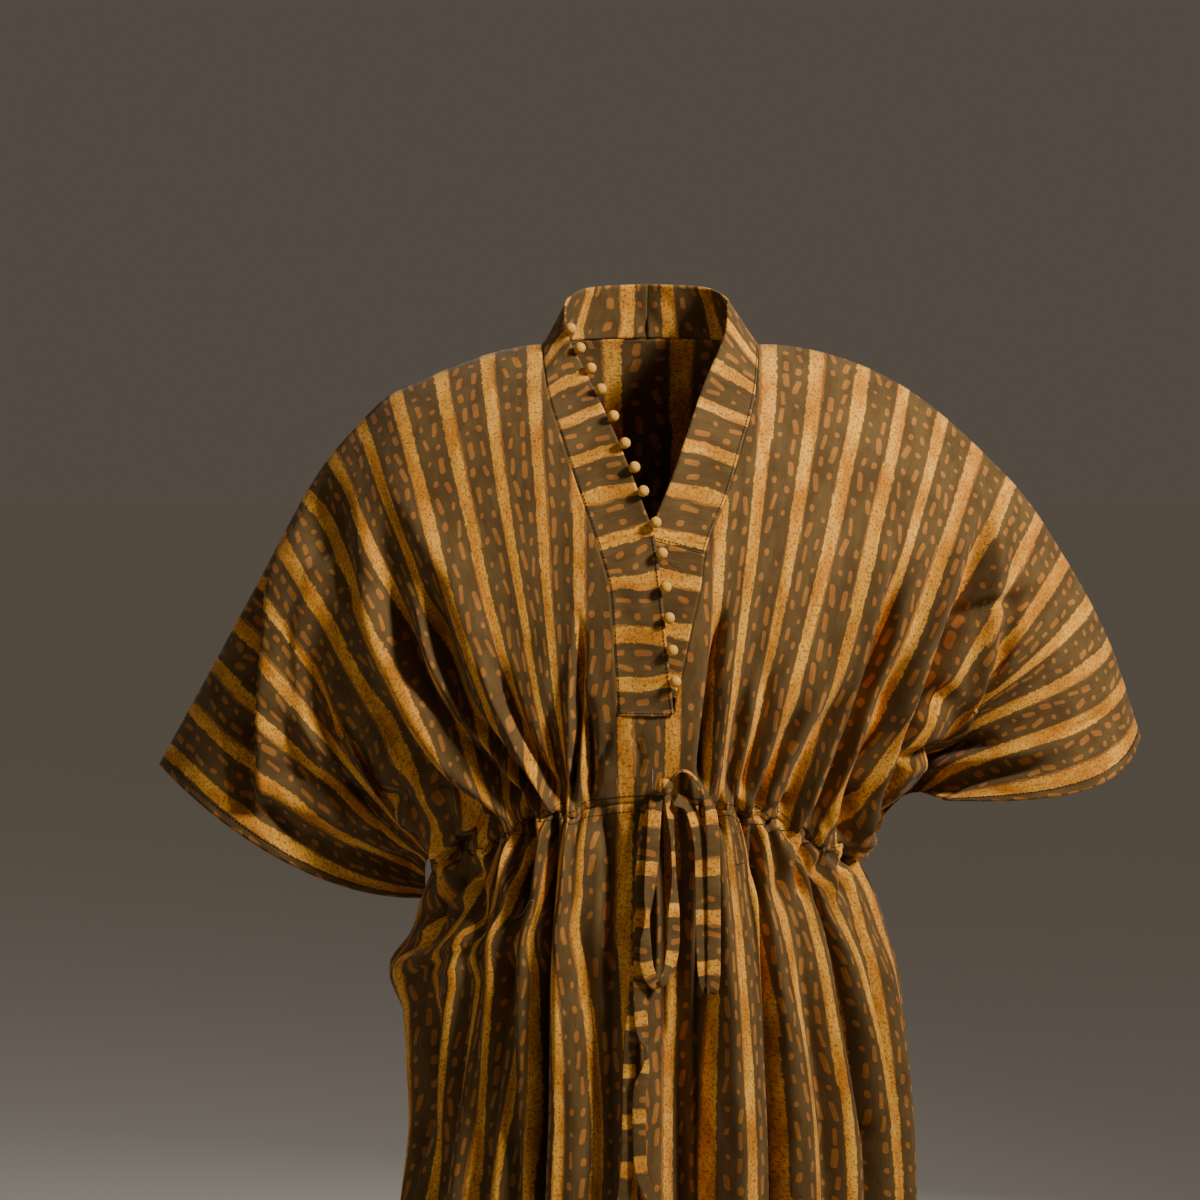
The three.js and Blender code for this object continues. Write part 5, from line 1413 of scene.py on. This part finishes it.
class Nodes:
    """Small helper that adds nodes to a tree and links them by plain calls."""

    def __init__(self, tree):
        self.tree = tree

    def add(self, kind, inputs=None, **settings):
        """A new node with its settings and the values or links of its inputs."""
        node = self.tree.nodes.new(kind)
        for key, value in settings.items():
            setattr(node, key, value)
        for key, value in (inputs or {}).items():
            self.feed(value, node.inputs[key])
        return node

    def feed(self, value, socket):
        """Links a socket, or sets a plain value."""
        if isinstance(value, bpy.types.NodeSocket):
            self.tree.links.new(value, socket)
        else:
            socket.default_value = value

    def math(self, operation, *values):
        """One operation on one or two numbers."""
        node = self.add("ShaderNodeMath", operation=operation)
        for value, socket in zip(values, node.inputs):
            self.feed(value, socket)
        return node.outputs[0]

    def smooth(self, value, low, high, start=0.0, end=1.0):
        """start below low, end above high, a smooth step between."""
        node = self.add("ShaderNodeMapRange", interpolation_type="SMOOTHSTEP")
        for key, item in zip(range(5), (value, low, high, start, end)):
            self.feed(item, node.inputs[key])
        return node.outputs[0]

    def colour(self, factor, first, second, blend="MIX"):
        """first where factor is 0, second, or their blend, where it is 1."""
        node = self.add("ShaderNodeMix", data_type="RGBA", blend_type=blend)
        for key, item in ((0, factor), (6, first), (7, second)):
            self.feed(item, node.inputs[key])
        return node.outputs[2]

    def vector(self, x, y, z=0.0):
        """Three numbers as a vector."""
        return self.add("ShaderNodeCombineXYZ", {0: x, 1: y, 2: z}).outputs[0]

    def noise(self, vector, scale, detail=2.0, rough=0.5):
        """Cloudy values about 0.5 at this scale."""
        inputs = {"Vector": vector, "Scale": scale, "Detail": detail, "Roughness": rough}
        return self.add("ShaderNodeTexNoise", inputs).outputs["Fac"]

    def random(self, vector):
        """Three random numbers for each whole vector."""
        node = self.add("ShaderNodeTexWhiteNoise", {"Vector": vector}, noise_dimensions="3D")
        return self.add("ShaderNodeSeparateColor", {0: node.outputs["Color"]}).outputs


print("node helper ready")

# %% [markdown]
# ## Groups and colours
# An effect used by more than one material is a node group with named sockets. Colours are
# chosen as they look on a screen, and shaders want them linear, so one function converts.

# %% Groups and colours


def new_group(name, inputs, outputs):
    """A shader node group with named sockets; returns the tree, its inputs and its output node."""
    tree = bpy.data.node_groups.new(name, "ShaderNodeTree")
    for label, kind, value in inputs:
        socket = tree.interface.new_socket(label, in_out="INPUT", socket_type=kind)
        if value is not None:
            socket.default_value = value
    for label, kind in outputs:
        tree.interface.new_socket(label, in_out="OUTPUT", socket_type=kind)
    start, end = tree.nodes.new("NodeGroupInput"), tree.nodes.new("NodeGroupOutput")
    return Nodes(tree), start.outputs, end


def linear(red, green, blue):
    """sRGB 0-255 to the linear colour that a shader socket takes."""
    srgb = np.array([red, green, blue]) / 255
    return (*np.where(srgb <= 0.04045, srgb / 12.92, ((srgb + 0.055) / 1.055) ** 2.4), 1.0)


print("mid grey is", round(float(linear(128, 128, 128)[0]), 3), "in linear light")

# %% [markdown]
# ## Dashes
# The printer's block carries small strokes between the stripes, and no two are quite alike.
# Each cell of a column draws its own length, tilt and place from a white noise, so the
# strokes wander as hand-cut ones do.

# %% Dash print
STRIPE_PITCH = 0.037
STRIPE_WIDTH = 0.0108
DASH_PITCH = 0.0180
DASH_WIDTH = 0.0044
DASH_COLUMNS = (-0.0052, 0.0058)
INK_EDGE = 0.0003


def dash_mask(n, across, down, column, wobble):
    """One column of dashes: a capsule in each cell, its length, tilt and place drawn per cell."""
    offset = DASH_COLUMNS[column]
    stripe = n.math("DIVIDE", across, STRIPE_PITCH)
    gap = n.math("ROUND", stripe)
    shift = n.random(n.vector(gap, 3.1 + column * 5.7, 0.5))[0]
    rows = n.math("ADD", n.math("DIVIDE", down, DASH_PITCH), n.math("MULTIPLY", shift, 7.0))
    cell = n.math("FLOOR", rows)
    draw = n.random(n.vector(gap, cell, 11.3 + column))
    more = n.random(n.vector(cell, gap, 4.7 + column * 3.0))
    x = n.math("SUBTRACT", n.math("MULTIPLY", n.math("SUBTRACT", stripe, gap), STRIPE_PITCH), offset)
    x = n.math("SUBTRACT", x, n.math("MULTIPLY", n.math("SUBTRACT", draw[0], 0.5), 0.0028))
    y = n.math("MULTIPLY", n.math("SUBTRACT", n.math("SUBTRACT", rows, cell), 0.5), DASH_PITCH)
    y = n.math("SUBTRACT", y, n.math("MULTIPLY", n.math("SUBTRACT", more[1], 0.5), 0.0025))
    tilt = n.math("MULTIPLY", n.math("SUBTRACT", draw[1], 0.5), 0.55)
    x = n.math("ADD", x, n.math("MULTIPLY", y, tilt))
    half = n.smooth(draw[2], 0.18, 0.75, 0.0002, 0.0050)
    beyond = n.math("MAXIMUM", n.math("SUBTRACT", n.math("ABSOLUTE", y), half), 0.0)
    reach = n.math("SQRT", n.math("ADD", n.math("MULTIPLY", x, x), n.math("MULTIPLY", beyond, beyond)))
    width = n.smooth(more[0], 0.0, 1.0, DASH_WIDTH * 0.36, DASH_WIDTH * 0.58)
    edge = n.math("SUBTRACT", n.math("ADD", reach, n.math("MULTIPLY", wobble, 0.0011)), width)
    drawn = n.math("GREATER_THAN", more[2], 0.04)
    return n.math("MULTIPLY", n.smooth(edge, -INK_EDGE, INK_EDGE, 1.0, 0.0), drawn)


print("dashes every", round(DASH_PITCH * 1000), "mm in", len(DASH_COLUMNS), "columns")

# %% [markdown]
# ## Stripes
# A stripe is the distance to its centre line against half its width. The block is set down
# again and again along the cloth, so the stripe steps a little at each join, and rust shows
# beside the gold where the two colours were not printed quite in register.

# %% Block print group
BLOCK_LENGTH = 0.118


def make_print_group():
    """Stripes: distance to the nearest stripe centre against a wavering half width."""
    n, given, end = new_group(
        "block_print",
        [("Across", "NodeSocketFloat", 0.0), ("Down", "NodeSocketFloat", 0.0)],
        [(label, "NodeSocketFloat") for label in ("Stripe", "Rust", "Speck", "Tone")],
    )
    across, down = given["Across"], given["Down"]
    flat = n.vector(across, down)
    fine = n.math("SUBTRACT", n.noise(flat, 900.0, 2.0), 0.5)
    rough = n.math("SUBTRACT", n.noise(flat, 170.0, 2.0), 0.5)
    slow = n.math("SUBTRACT", n.noise(n.vector(across, n.math("MULTIPLY", down, 0.35)), 30.0, 1.0), 0.5)
    stripe = n.math("ADD", n.math("DIVIDE", across, STRIPE_PITCH), 0.5)
    number = n.math("ROUND", stripe)
    prints = n.math("DIVIDE", down, BLOCK_LENGTH)
    block = n.math("FLOOR", n.math("ADD", prints, n.math("MULTIPLY", number, 0.37)))
    step = n.random(n.vector(number, block, 2.3))
    shift = n.math("MULTIPLY", n.math("SUBTRACT", step[0], 0.5), 0.0018)
    shift = n.math("ADD", shift, n.math("MULTIPLY", slow, 0.0035))
    x = n.math("SUBTRACT", n.math("MULTIPLY", n.math("SUBTRACT", stripe, number), STRIPE_PITCH), shift)
    rag = n.math("ADD", n.math("MULTIPLY", rough, 0.0044), n.math("MULTIPLY", fine, 0.0026))
    half = n.math("ADD", STRIPE_WIDTH / 2, n.math("MULTIPLY", n.math("SUBTRACT", step[1], 0.5), 0.0012))
    away = n.math("SUBTRACT", n.math("ADD", n.math("ABSOLUTE", x), rag), half)
    gold = n.smooth(away, -0.0003, 0.0004, 1.0, 0.0)
    under_shift = n.math("MULTIPLY", n.math("SUBTRACT", step[2], 0.5), 0.0044)
    under = n.math("ABSOLUTE", n.math("SUBTRACT", x, under_shift))
    under = n.math("SUBTRACT", n.math("SUBTRACT", under, half), n.math("MULTIPLY", rough, 0.003))
    under = n.smooth(under, 0.0, 0.0005, 1.0, 0.0)
    columns = [dash_mask(n, across, down, column, rough) for column in (0, 1)]
    dashes = n.math("MAXIMUM", *columns)
    rust = n.math("MAXIMUM", dashes, n.math("MULTIPLY", under, 0.8))
    speck = n.smooth(n.noise(flat, 430.0, 3.0, 0.72), 0.50, 0.62)
    tone = n.noise(n.vector(across, n.math("MULTIPLY", down, 0.4)), 55.0, 4.0, 0.6)
    for label, value in (("Stripe", gold), ("Rust", rust), ("Speck", speck), ("Tone", tone)):
        n.feed(value, end.inputs[label])
    return n.tree


print_group = make_print_group()
print("print group of", len(print_group.nodes), "nodes")

# %% [markdown]
# ## Weave
# Plain cotton shows its threads close up and small crinkles from afar. Two sines multiplied
# give the over and under of a plain weave, and stretched noise gives thicker threads here and
# there. It is bump and tint only: a thread is far too small for geometry. The over and under
# in the tint is painted shade, darker where a thread dips; the thicker threads are real tone.

# %% Weave group
THREADS_PER_METRE = 2300.0


def make_weave_group():
    """Plain weave as height; tint is painted over-and-under shade plus real slub thread tone."""
    n, given, end = new_group(
        "cotton_weave",
        [("Across", "NodeSocketFloat", 0.0), ("Down", "NodeSocketFloat", 0.0)],
        [("Height", "NodeSocketFloat"), ("Tint", "NodeSocketFloat")],
    )
    turn = THREADS_PER_METRE * math.pi
    warp = n.math("SINE", n.math("MULTIPLY", given["Across"], turn))
    weft = n.math("SINE", n.math("MULTIPLY", given["Down"], turn))
    weave = n.math("MULTIPLY", warp, weft)
    flat = n.vector(given["Across"], given["Down"])
    slub = n.noise(n.vector(n.math("MULTIPLY", given["Across"], 8.0), given["Down"]), 90.0, 3.0, 0.6)
    crinkle = n.noise(flat, 60.0, 4.0, 0.6)
    height = n.math("ADD", n.math("MULTIPLY", weave, 0.00004), n.math("MULTIPLY", slub, 0.00010))
    height = n.math("ADD", height, n.math("MULTIPLY", crinkle, 0.0010))
    # painted shade: the weave's over and under darkens the tint where a thread dips; the slub noise is
    # the real tone of thicker threads
    tint = n.math("ADD", n.math("MULTIPLY", weave, 0.06), slub)
    n.feed(height, end.inputs["Height"])
    n.feed(tint, end.inputs["Tint"])
    return n.tree


weave_group = make_weave_group()
print("weave group of", len(weave_group.nodes), "nodes")

# %% [markdown]
# ## Cloth materials
# The printed cotton layers ground, rust and gold with the masks of the print group. Cotton is
# matt, with a faint sheen from its fibres. The buttons are plain cloth of the gold's colour.

# %% Cloth materials
GROUND = linear(112, 85, 45)
GROUND_DARK = linear(92, 68, 32)
GOLD = linear(255, 184, 72)
GOLD_DARK = linear(208, 132, 38)
RUST = linear(184, 120, 52)
RUST_DARK = linear(156, 99, 42)
SPECK = linear(118, 78, 28)
BUTTON_GOLD = linear(248, 190, 88)
BUTTON_DARK = linear(214, 146, 54)


def new_material(name):
    """An empty node material with its Principled shader wired to the output."""
    material = bpy.data.materials.new(name)
    material.use_nodes = True
    n = Nodes(material.node_tree)
    shader = material.node_tree.nodes["Principled BSDF"]
    return material, n, shader


def printed_material(name, ground, ground_dark):
    """Ground, rust dashes, gold stripes, specks; weave gives bump, painted shade and slub tone."""
    material, n, shader = new_material(name)
    uv = n.add("ShaderNodeUVMap", uv_map="flat_cloth").outputs[0]
    flat = n.add("ShaderNodeSeparateXYZ", {0: uv}).outputs
    blocks = n.add("ShaderNodeGroup", node_tree=print_group)
    weave = n.add("ShaderNodeGroup", node_tree=weave_group)
    for node in (blocks, weave):
        n.feed(flat[0], node.inputs["Across"])
        n.feed(flat[1], node.inputs["Down"])
    tone = n.smooth(blocks.outputs["Tone"], 0.35, 0.65)
    base = n.colour(tone, ground_dark, ground)
    rust = n.colour(tone, RUST_DARK, RUST)
    gold = n.colour(tone, GOLD_DARK, GOLD)
    gold = n.colour(n.math("MULTIPLY", blocks.outputs["Speck"], 0.75), gold, SPECK)
    rust = n.colour(n.math("MULTIPLY", blocks.outputs["Speck"], 0.3), rust, ground)
    base = n.colour(blocks.outputs["Rust"], base, rust)
    base = n.colour(blocks.outputs["Stripe"], base, gold)
    # partly painted shade of the weave's over and under, partly the real tone of thicker threads,
    # multiplied into the colour
    slub_tone_and_weave_shade = n.smooth(weave.outputs["Tint"], 0.25, 0.75, 0.86, 1.1)
    slub_tone_and_weave_shade = n.add("ShaderNodeCombineColor", {0: slub_tone_and_weave_shade, 1: slub_tone_and_weave_shade, 2: slub_tone_and_weave_shade}).outputs[0]
    base = n.colour(1.0, base, slub_tone_and_weave_shade, "MULTIPLY")
    n.feed(base, shader.inputs["Base Color"])
    height = weave.outputs["Height"]
    bump = n.add("ShaderNodeBump", {"Height": height, "Strength": 0.6, "Distance": 1.0})
    n.feed(bump.outputs[0], shader.inputs["Normal"])
    shader.inputs["Roughness"].default_value = 0.86
    shader.inputs["Specular IOR Level"].default_value = 0.25
    shader.inputs["Sheen Weight"].default_value = 0.06
    shader.inputs["Sheen Roughness"].default_value = 0.5
    return material


def button_material():
    """Plain golden cotton: a fine noise in the piece's own coordinates tints and roughens it."""
    material, n, shader = new_material("button_cotton")
    place = n.add("ShaderNodeTexCoord").outputs["Object"]
    grain = n.noise(place, 1500.0, 2.0)
    tint = n.colour(n.smooth(grain, 0.35, 0.65), BUTTON_DARK, BUTTON_GOLD)
    n.feed(tint, shader.inputs["Base Color"])
    height = n.math("MULTIPLY", grain, 0.0003)
    bump = n.add("ShaderNodeBump", {"Height": height, "Strength": 0.6, "Distance": 1.0})
    n.feed(bump.outputs[0], shader.inputs["Normal"])
    shader.inputs["Roughness"].default_value = 0.75
    shader.inputs["Specular IOR Level"].default_value = 0.3
    return material


body_cloth = printed_material("printed_cotton", GROUND, GROUND_DARK)
strip_cloth = printed_material("band_cotton", GROUND, GROUND_DARK)
button_cloth = button_material()
for piece in panels.values():
    piece.data.materials.append(body_cloth)
for piece in [band_over, band_under, placket_under, knot, *ties.values()]:
    piece.data.materials.append(strip_cloth)
for piece in buttons:
    piece.data.materials.append(button_cloth)
print("materials:", [material.name for material in bpy.data.materials])

# %% [markdown]
# ## Stitches and thread ends
# Every seam shows as short stitches lying on the cloth: beside the band's seam, along the over
# placket's free edge and its foot, on the waist channel, hems and cuffs. Each stitch is a small
# block with six faces. A hand-finished garment also keeps a few loose thread ends.

# %% Stitches
STITCH_PITCH = 3.0
STITCH_LENGTH = 2.0
STITCH_WIDTH = 0.62
STITCH_LIFT = 0.12
HEM_STITCH = 12


def stitch_blocks(line, up, pitch=STITCH_PITCH):
    """Blocks along a line: one to a pitch, their axes the line, the surface normal and across."""
    lengths = along_lengths(line)
    at = np.arange(pitch / 2, lengths[-1], pitch)
    centre, ahead, normal = (
        np.stack([np.interp(where, lengths, values[:, k]) for k in range(3)], -1)
        for where, values in ((at, line), (at + 0.5, line), (at, up))
    )
    along, normal = unit(ahead - centre + 1e-9), unit(normal)
    across = unit(np.cross(normal, along))
    ring = [[-1, -1], [1, -1], [1, 1], [-1, 1]]
    sides = np.array([[x, y, z] for z in (-1, 1) for x, y in ring]) / 2
    reach = sides * [STITCH_LENGTH, STITCH_WIDTH, STITCH_WIDTH * 0.7]
    turn = np.stack([along, across, np.cross(along, across)], 1)
    return (centre + normal * STITCH_LIFT)[:, None, :] + reach @ turn


def stitch_mesh(name, runs):
    """All blocks of all runs in one mesh, six quads to a block."""
    points = np.concatenate([stitch_blocks(*run) for run in runs]).reshape(-1, 3) * MM
    quads = np.array(
        [[0, 3, 2, 1], [4, 5, 6, 7], [0, 1, 5, 4], [1, 2, 6, 5], [2, 3, 7, 6], [3, 0, 4, 7]])
    faces = (np.arange(len(points) // 8)[:, None, None] * 8 + quads).reshape(-1, 4)
    mesh = bpy.data.meshes.new(name)
    mesh.from_pydata(points.tolist(), [], faces.tolist())
    return mesh


def panel_run(face, where, row):
    """A line on a panel with its outward normal, from two lifts."""
    where, row = np.broadcast_arrays(np.asarray(where, float), np.asarray(row, float))
    low, high = panel_place(face, where, row), panel_place(face, where, row, lift=1.0)
    return low, high - low


def band_run(side, station, share):
    """A line on a band with the normal that points away from the neck's middle."""
    station, share = np.broadcast_arrays(np.asarray(station, float), np.asarray(share, float))
    here = band_place(side, station, share)
    along = band_place(side, station + 0.002, share) - here
    beside = band_place(side, station, share + 0.02) - here
    normal = unit(np.cross(along, beside))
    away = here * [1, 1, 0] + [0, -10, 0]
    normal = normal * np.sign(np.sum(normal * away, -1, keepdims=True))
    return here, normal


print("one stitch every", STITCH_PITCH, "mm")

# %% [markdown]
# ## Rows of stitches
# A row of stitches is a line in the coordinates of its panel or band, so it stays on the
# folded cloth. Bands, hems, cuffs and both edges of the waist channel have their rows.

# %% Stitch rows
full_way = np.linspace(-0.98, 0.985 * PLACKET_END_ROW, 400)
under_way = np.linspace(-0.98, 0.985 * CROSS_SEAM_ROW, 300)
round_front = np.linspace(-1.97, 1.97, 900)
seam_runs = [
    band_run(-1, full_way, 0.955),
    band_run(1, under_way, 0.955),
    band_run(-1, np.linspace(CROSS_SEAM_ROW, 0.985 * PLACKET_END_ROW, 160), 0.045),
    band_run(-1, np.full(60, 0.985 * PLACKET_END_ROW), np.linspace(0.03, 0.96, 60)),
    band_run(1, np.full(60, 0.985 * CROSS_SEAM_ROW), np.linspace(0.04, 0.96, 60)),
]
hem_runs = [panel_run(face, round_front, 2 - HEM_STITCH / SKIRT_LENGTH) for face in ("front", "back")]
channel_runs = [
    panel_run(face, round_front, row) for face in ("front", "back") for row in (0.985, 1.006)
]
cuff_rows = np.linspace(0.02, CUFF_END_ROW, 260)
cuff_runs = [
    panel_run(face, np.full_like(cuff_rows, side * 1.985), cuff_rows)
    for face in ("front", "back") for side in (-1, 1)
]
band_rows = stitch_mesh("band_stitches", seam_runs)
panel_rows = stitch_mesh("panel_stitches", hem_runs + channel_runs + cuff_runs)
stitches = {
    "band_stitches": add_object("band_stitches", band_rows, []),
    "panel_stitches": add_object("panel_stitches", panel_rows, []),
}
print({name: len(piece.data.polygons) // 6 for name, piece in stitches.items()}, "stitches")

# %% [markdown]
# ## Loose thread ends
# Each end starts on the cloth, runs over it and lifts off at its tip. It is a thin six-sided tube
# through a few squared places of the front elevation.

# %% Thread ends
THREAD_RADIUS = 0.16
# squared places on the front elevation, how far the end stands off the cloth (mm), colour
THREADS = [
    ([(512, 917), (520, 912), (530, 904), (532, 897)], 3, "pale_thread"),
    ([(655, 771), (653, 777), (655, 783), (654, 790)], 2, "pale_thread"),
    ([(716, 818), (728, 829), (740, 831), (752, 829)], 5, "red_thread"),
    ([(716, 836), (730, 841), (742, 846), (751, 848)], 4, "red_thread"),
    ([(737, 840), (735, 850), (729, 859), (741, 861), (754, 869)], 5, "red_thread"),
    ([(664, 556), (671, 560), (678, 562), (684, 563)], 3, "red_thread"),
    ([(752, 812), (759, 812), (765, 807)], 2, "pale_thread"),
]


def vertex_places(piece):
    """All vertex places of a piece in millimetres."""
    values = np.empty(len(piece.data.vertices) * 3)
    piece.data.vertices.foreach_get("co", values)
    return values.reshape(-1, 3) / MM


def nearest_front(spots):
    """For each squared place, the foremost front vertex that lies beside it on the elevation."""
    scale = np.array([VIEW_UNIT, -VIEW_UNIT])
    carriers = (panels["front"], panels["front_skirt"], band_over, band_under, placket_under)
    places = np.concatenate([vertex_places(piece) for piece in carriers])
    seen = front_view(places)
    wanted = (np.array(spots) - VIEW_NECK) * scale
    away = np.linalg.norm(seen[None] - wanted[:, None], axis=-1)
    cost = np.where(away < 2.5, places[:, 1], 1e3 + away)
    return places[np.argmin(cost, 1)]


def thread_mesh(name, spots, stand_off):
    """A six-sided tube through the places, arching off the cloth between its ends."""
    rows = [[index, *place] for index, place in enumerate(nearest_front(spots))]
    at = np.linspace(0, len(rows) - 1, 8 * (len(rows) - 1) + 1)
    line = through(rows)(at)
    line[:, 1] -= 0.4 + stand_off * np.sin(np.pi * at / (2 * at[-1]))
    along = unit(np.gradient(line, axis=0))
    side = unit(np.cross(along, [0.0, 1.0, 0.1]))
    over = np.cross(along, side)
    turn = np.linspace(0, 2 * math.pi, 7)[:-1]
    ring = np.cos(turn)[:, None] * side[:, None, :] + np.sin(turn)[:, None] * over[:, None, :]
    points = (line[:, None, :] + THREAD_RADIUS * ring).reshape(-1, 3) * MM
    first = (np.arange(len(line) - 1)[:, None] * 6 + np.arange(6)).ravel()
    beside = (np.arange(len(line) - 1)[:, None] * 6 + (np.arange(6) + 1) % 6).ravel()
    faces = np.stack([first, beside, beside + 6, first + 6], -1).tolist()
    last = len(points) - 6
    mesh = bpy.data.meshes.new(name)
    mesh.from_pydata(points.tolist(), [], faces + [list(range(5, -1, -1)), list(range(last, last + 6))])
    return mesh


thread_ends = []
for number, (spots, stand_off, colour) in enumerate(THREADS):
    name = f"thread_end_{number + 1}"
    mesh = thread_mesh(name, spots, stand_off)
    thread_ends.append((add_object(name, mesh, []), colour))
print(len(thread_ends), "thread ends")

# %% [markdown]
# ## Thread finish
# Sewing thread is spun, so its tone changes along it in fine steps. The seams are sewn in dark
# brown that sinks into the ground colour, and the loose ends are pale or red.

# %% Thread materials


def thread_material(name, dark, light):
    """Spun thread: two close tones by a fine noise in the piece's own coordinates."""
    material, n, shader = new_material(name)
    place = n.add("ShaderNodeTexCoord").outputs["Object"]
    tone = n.smooth(n.noise(place, 900.0, 2.0), 0.4, 0.6)
    n.feed(n.colour(tone, dark, light), shader.inputs["Base Color"])
    shader.inputs["Roughness"].default_value = 0.7
    shader.inputs["Specular IOR Level"].default_value = 0.3
    return material


seam_thread = thread_material("seam_thread", linear(24, 17, 9), linear(48, 34, 17))
loose_thread = {
    "pale_thread": thread_material("pale_thread", linear(170, 160, 150), linear(214, 206, 196)),
    "red_thread": thread_material("red_thread", linear(122, 74, 56), linear(160, 104, 82)),
}
for piece in stitches.values():
    piece.data.materials.append(seam_thread)
for piece, colour in thread_ends:
    piece.data.materials.append(loose_thread[colour])
print("threads:", seam_thread.name, *loose_thread)

# %% Soft pieces
print("declared 7 sheets and", len(ties), "cords")

# %% [markdown]
# ## Floor and light
# A plain pale floor far below the hem and four soft lights: a key from the garment's left front
# with a narrow spread, so that the light falls off towards the hem, a weak fill from its right,
# one from above for the shoulders and one behind for the back.

# %% Stage
FLOOR_Z = -1.45
FLOOR_REACH = 30


def area_light(name, place, size, power, colour, spread=180.0, aim_z=-0.35):
    """A square soft light aimed at the body's middle; a smaller spread dims its edges."""
    data = bpy.data.lights.new(name, "AREA")
    data.size, data.energy, data.color, data.spread = size, power, colour, math.radians(spread)
    light = bpy.data.objects.new(name, data)
    bpy.context.scene.collection.objects.link(light)
    light.location = place
    aim = np.array([0.0, 0.0, aim_z]) - np.array(place)
    light.rotation_mode = "QUATERNION"
    light.rotation_quaternion = Vector(aim).to_track_quat("-Z", "Y")


def make_stage():
    """The floor square, the pale surroundings and the lights."""
    mesh = bpy.data.meshes.new("floor")
    signs = ((-1, -1), (1, -1), (1, 1), (-1, 1))
    corners = [(x * FLOOR_REACH, y * FLOOR_REACH, FLOOR_Z) for x, y in signs]
    mesh.from_pydata(corners, [], [(0, 1, 2, 3)])
    floor = bpy.data.objects.new("floor", mesh)
    bpy.context.scene.collection.objects.link(floor)
    material, _, shader = new_material("pale_floor")
    shader.inputs["Base Color"].default_value = linear(253, 251, 248)
    shader.inputs["Roughness"].default_value = 0.9
    mesh.materials.append(material)
    world = bpy.data.worlds.new("studio")
    world.use_nodes = True
    world.node_tree.nodes["Background"].inputs[0].default_value = linear(206, 190, 170)
    world.node_tree.nodes["Background"].inputs[1].default_value = 0.15
    bpy.context.scene.world = world
    area_light("key", (1.6, -1.3, 1.2), 0.45, 14, (1.0, 0.96, 0.90), 76, 0.0)
    area_light("fill", (-2.0, -2.4, 0.4), 1.4, 5, (0.95, 0.97, 1.0))
    area_light("top", (0.2, 1.2, 2.2), 1.5, 14, (1.0, 0.98, 0.95))
    area_light("back", (0.9, 2.8, 0.3), 1.6, 16, (1.0, 0.97, 0.93))


make_stage()
print("floor at", FLOOR_Z, "m")
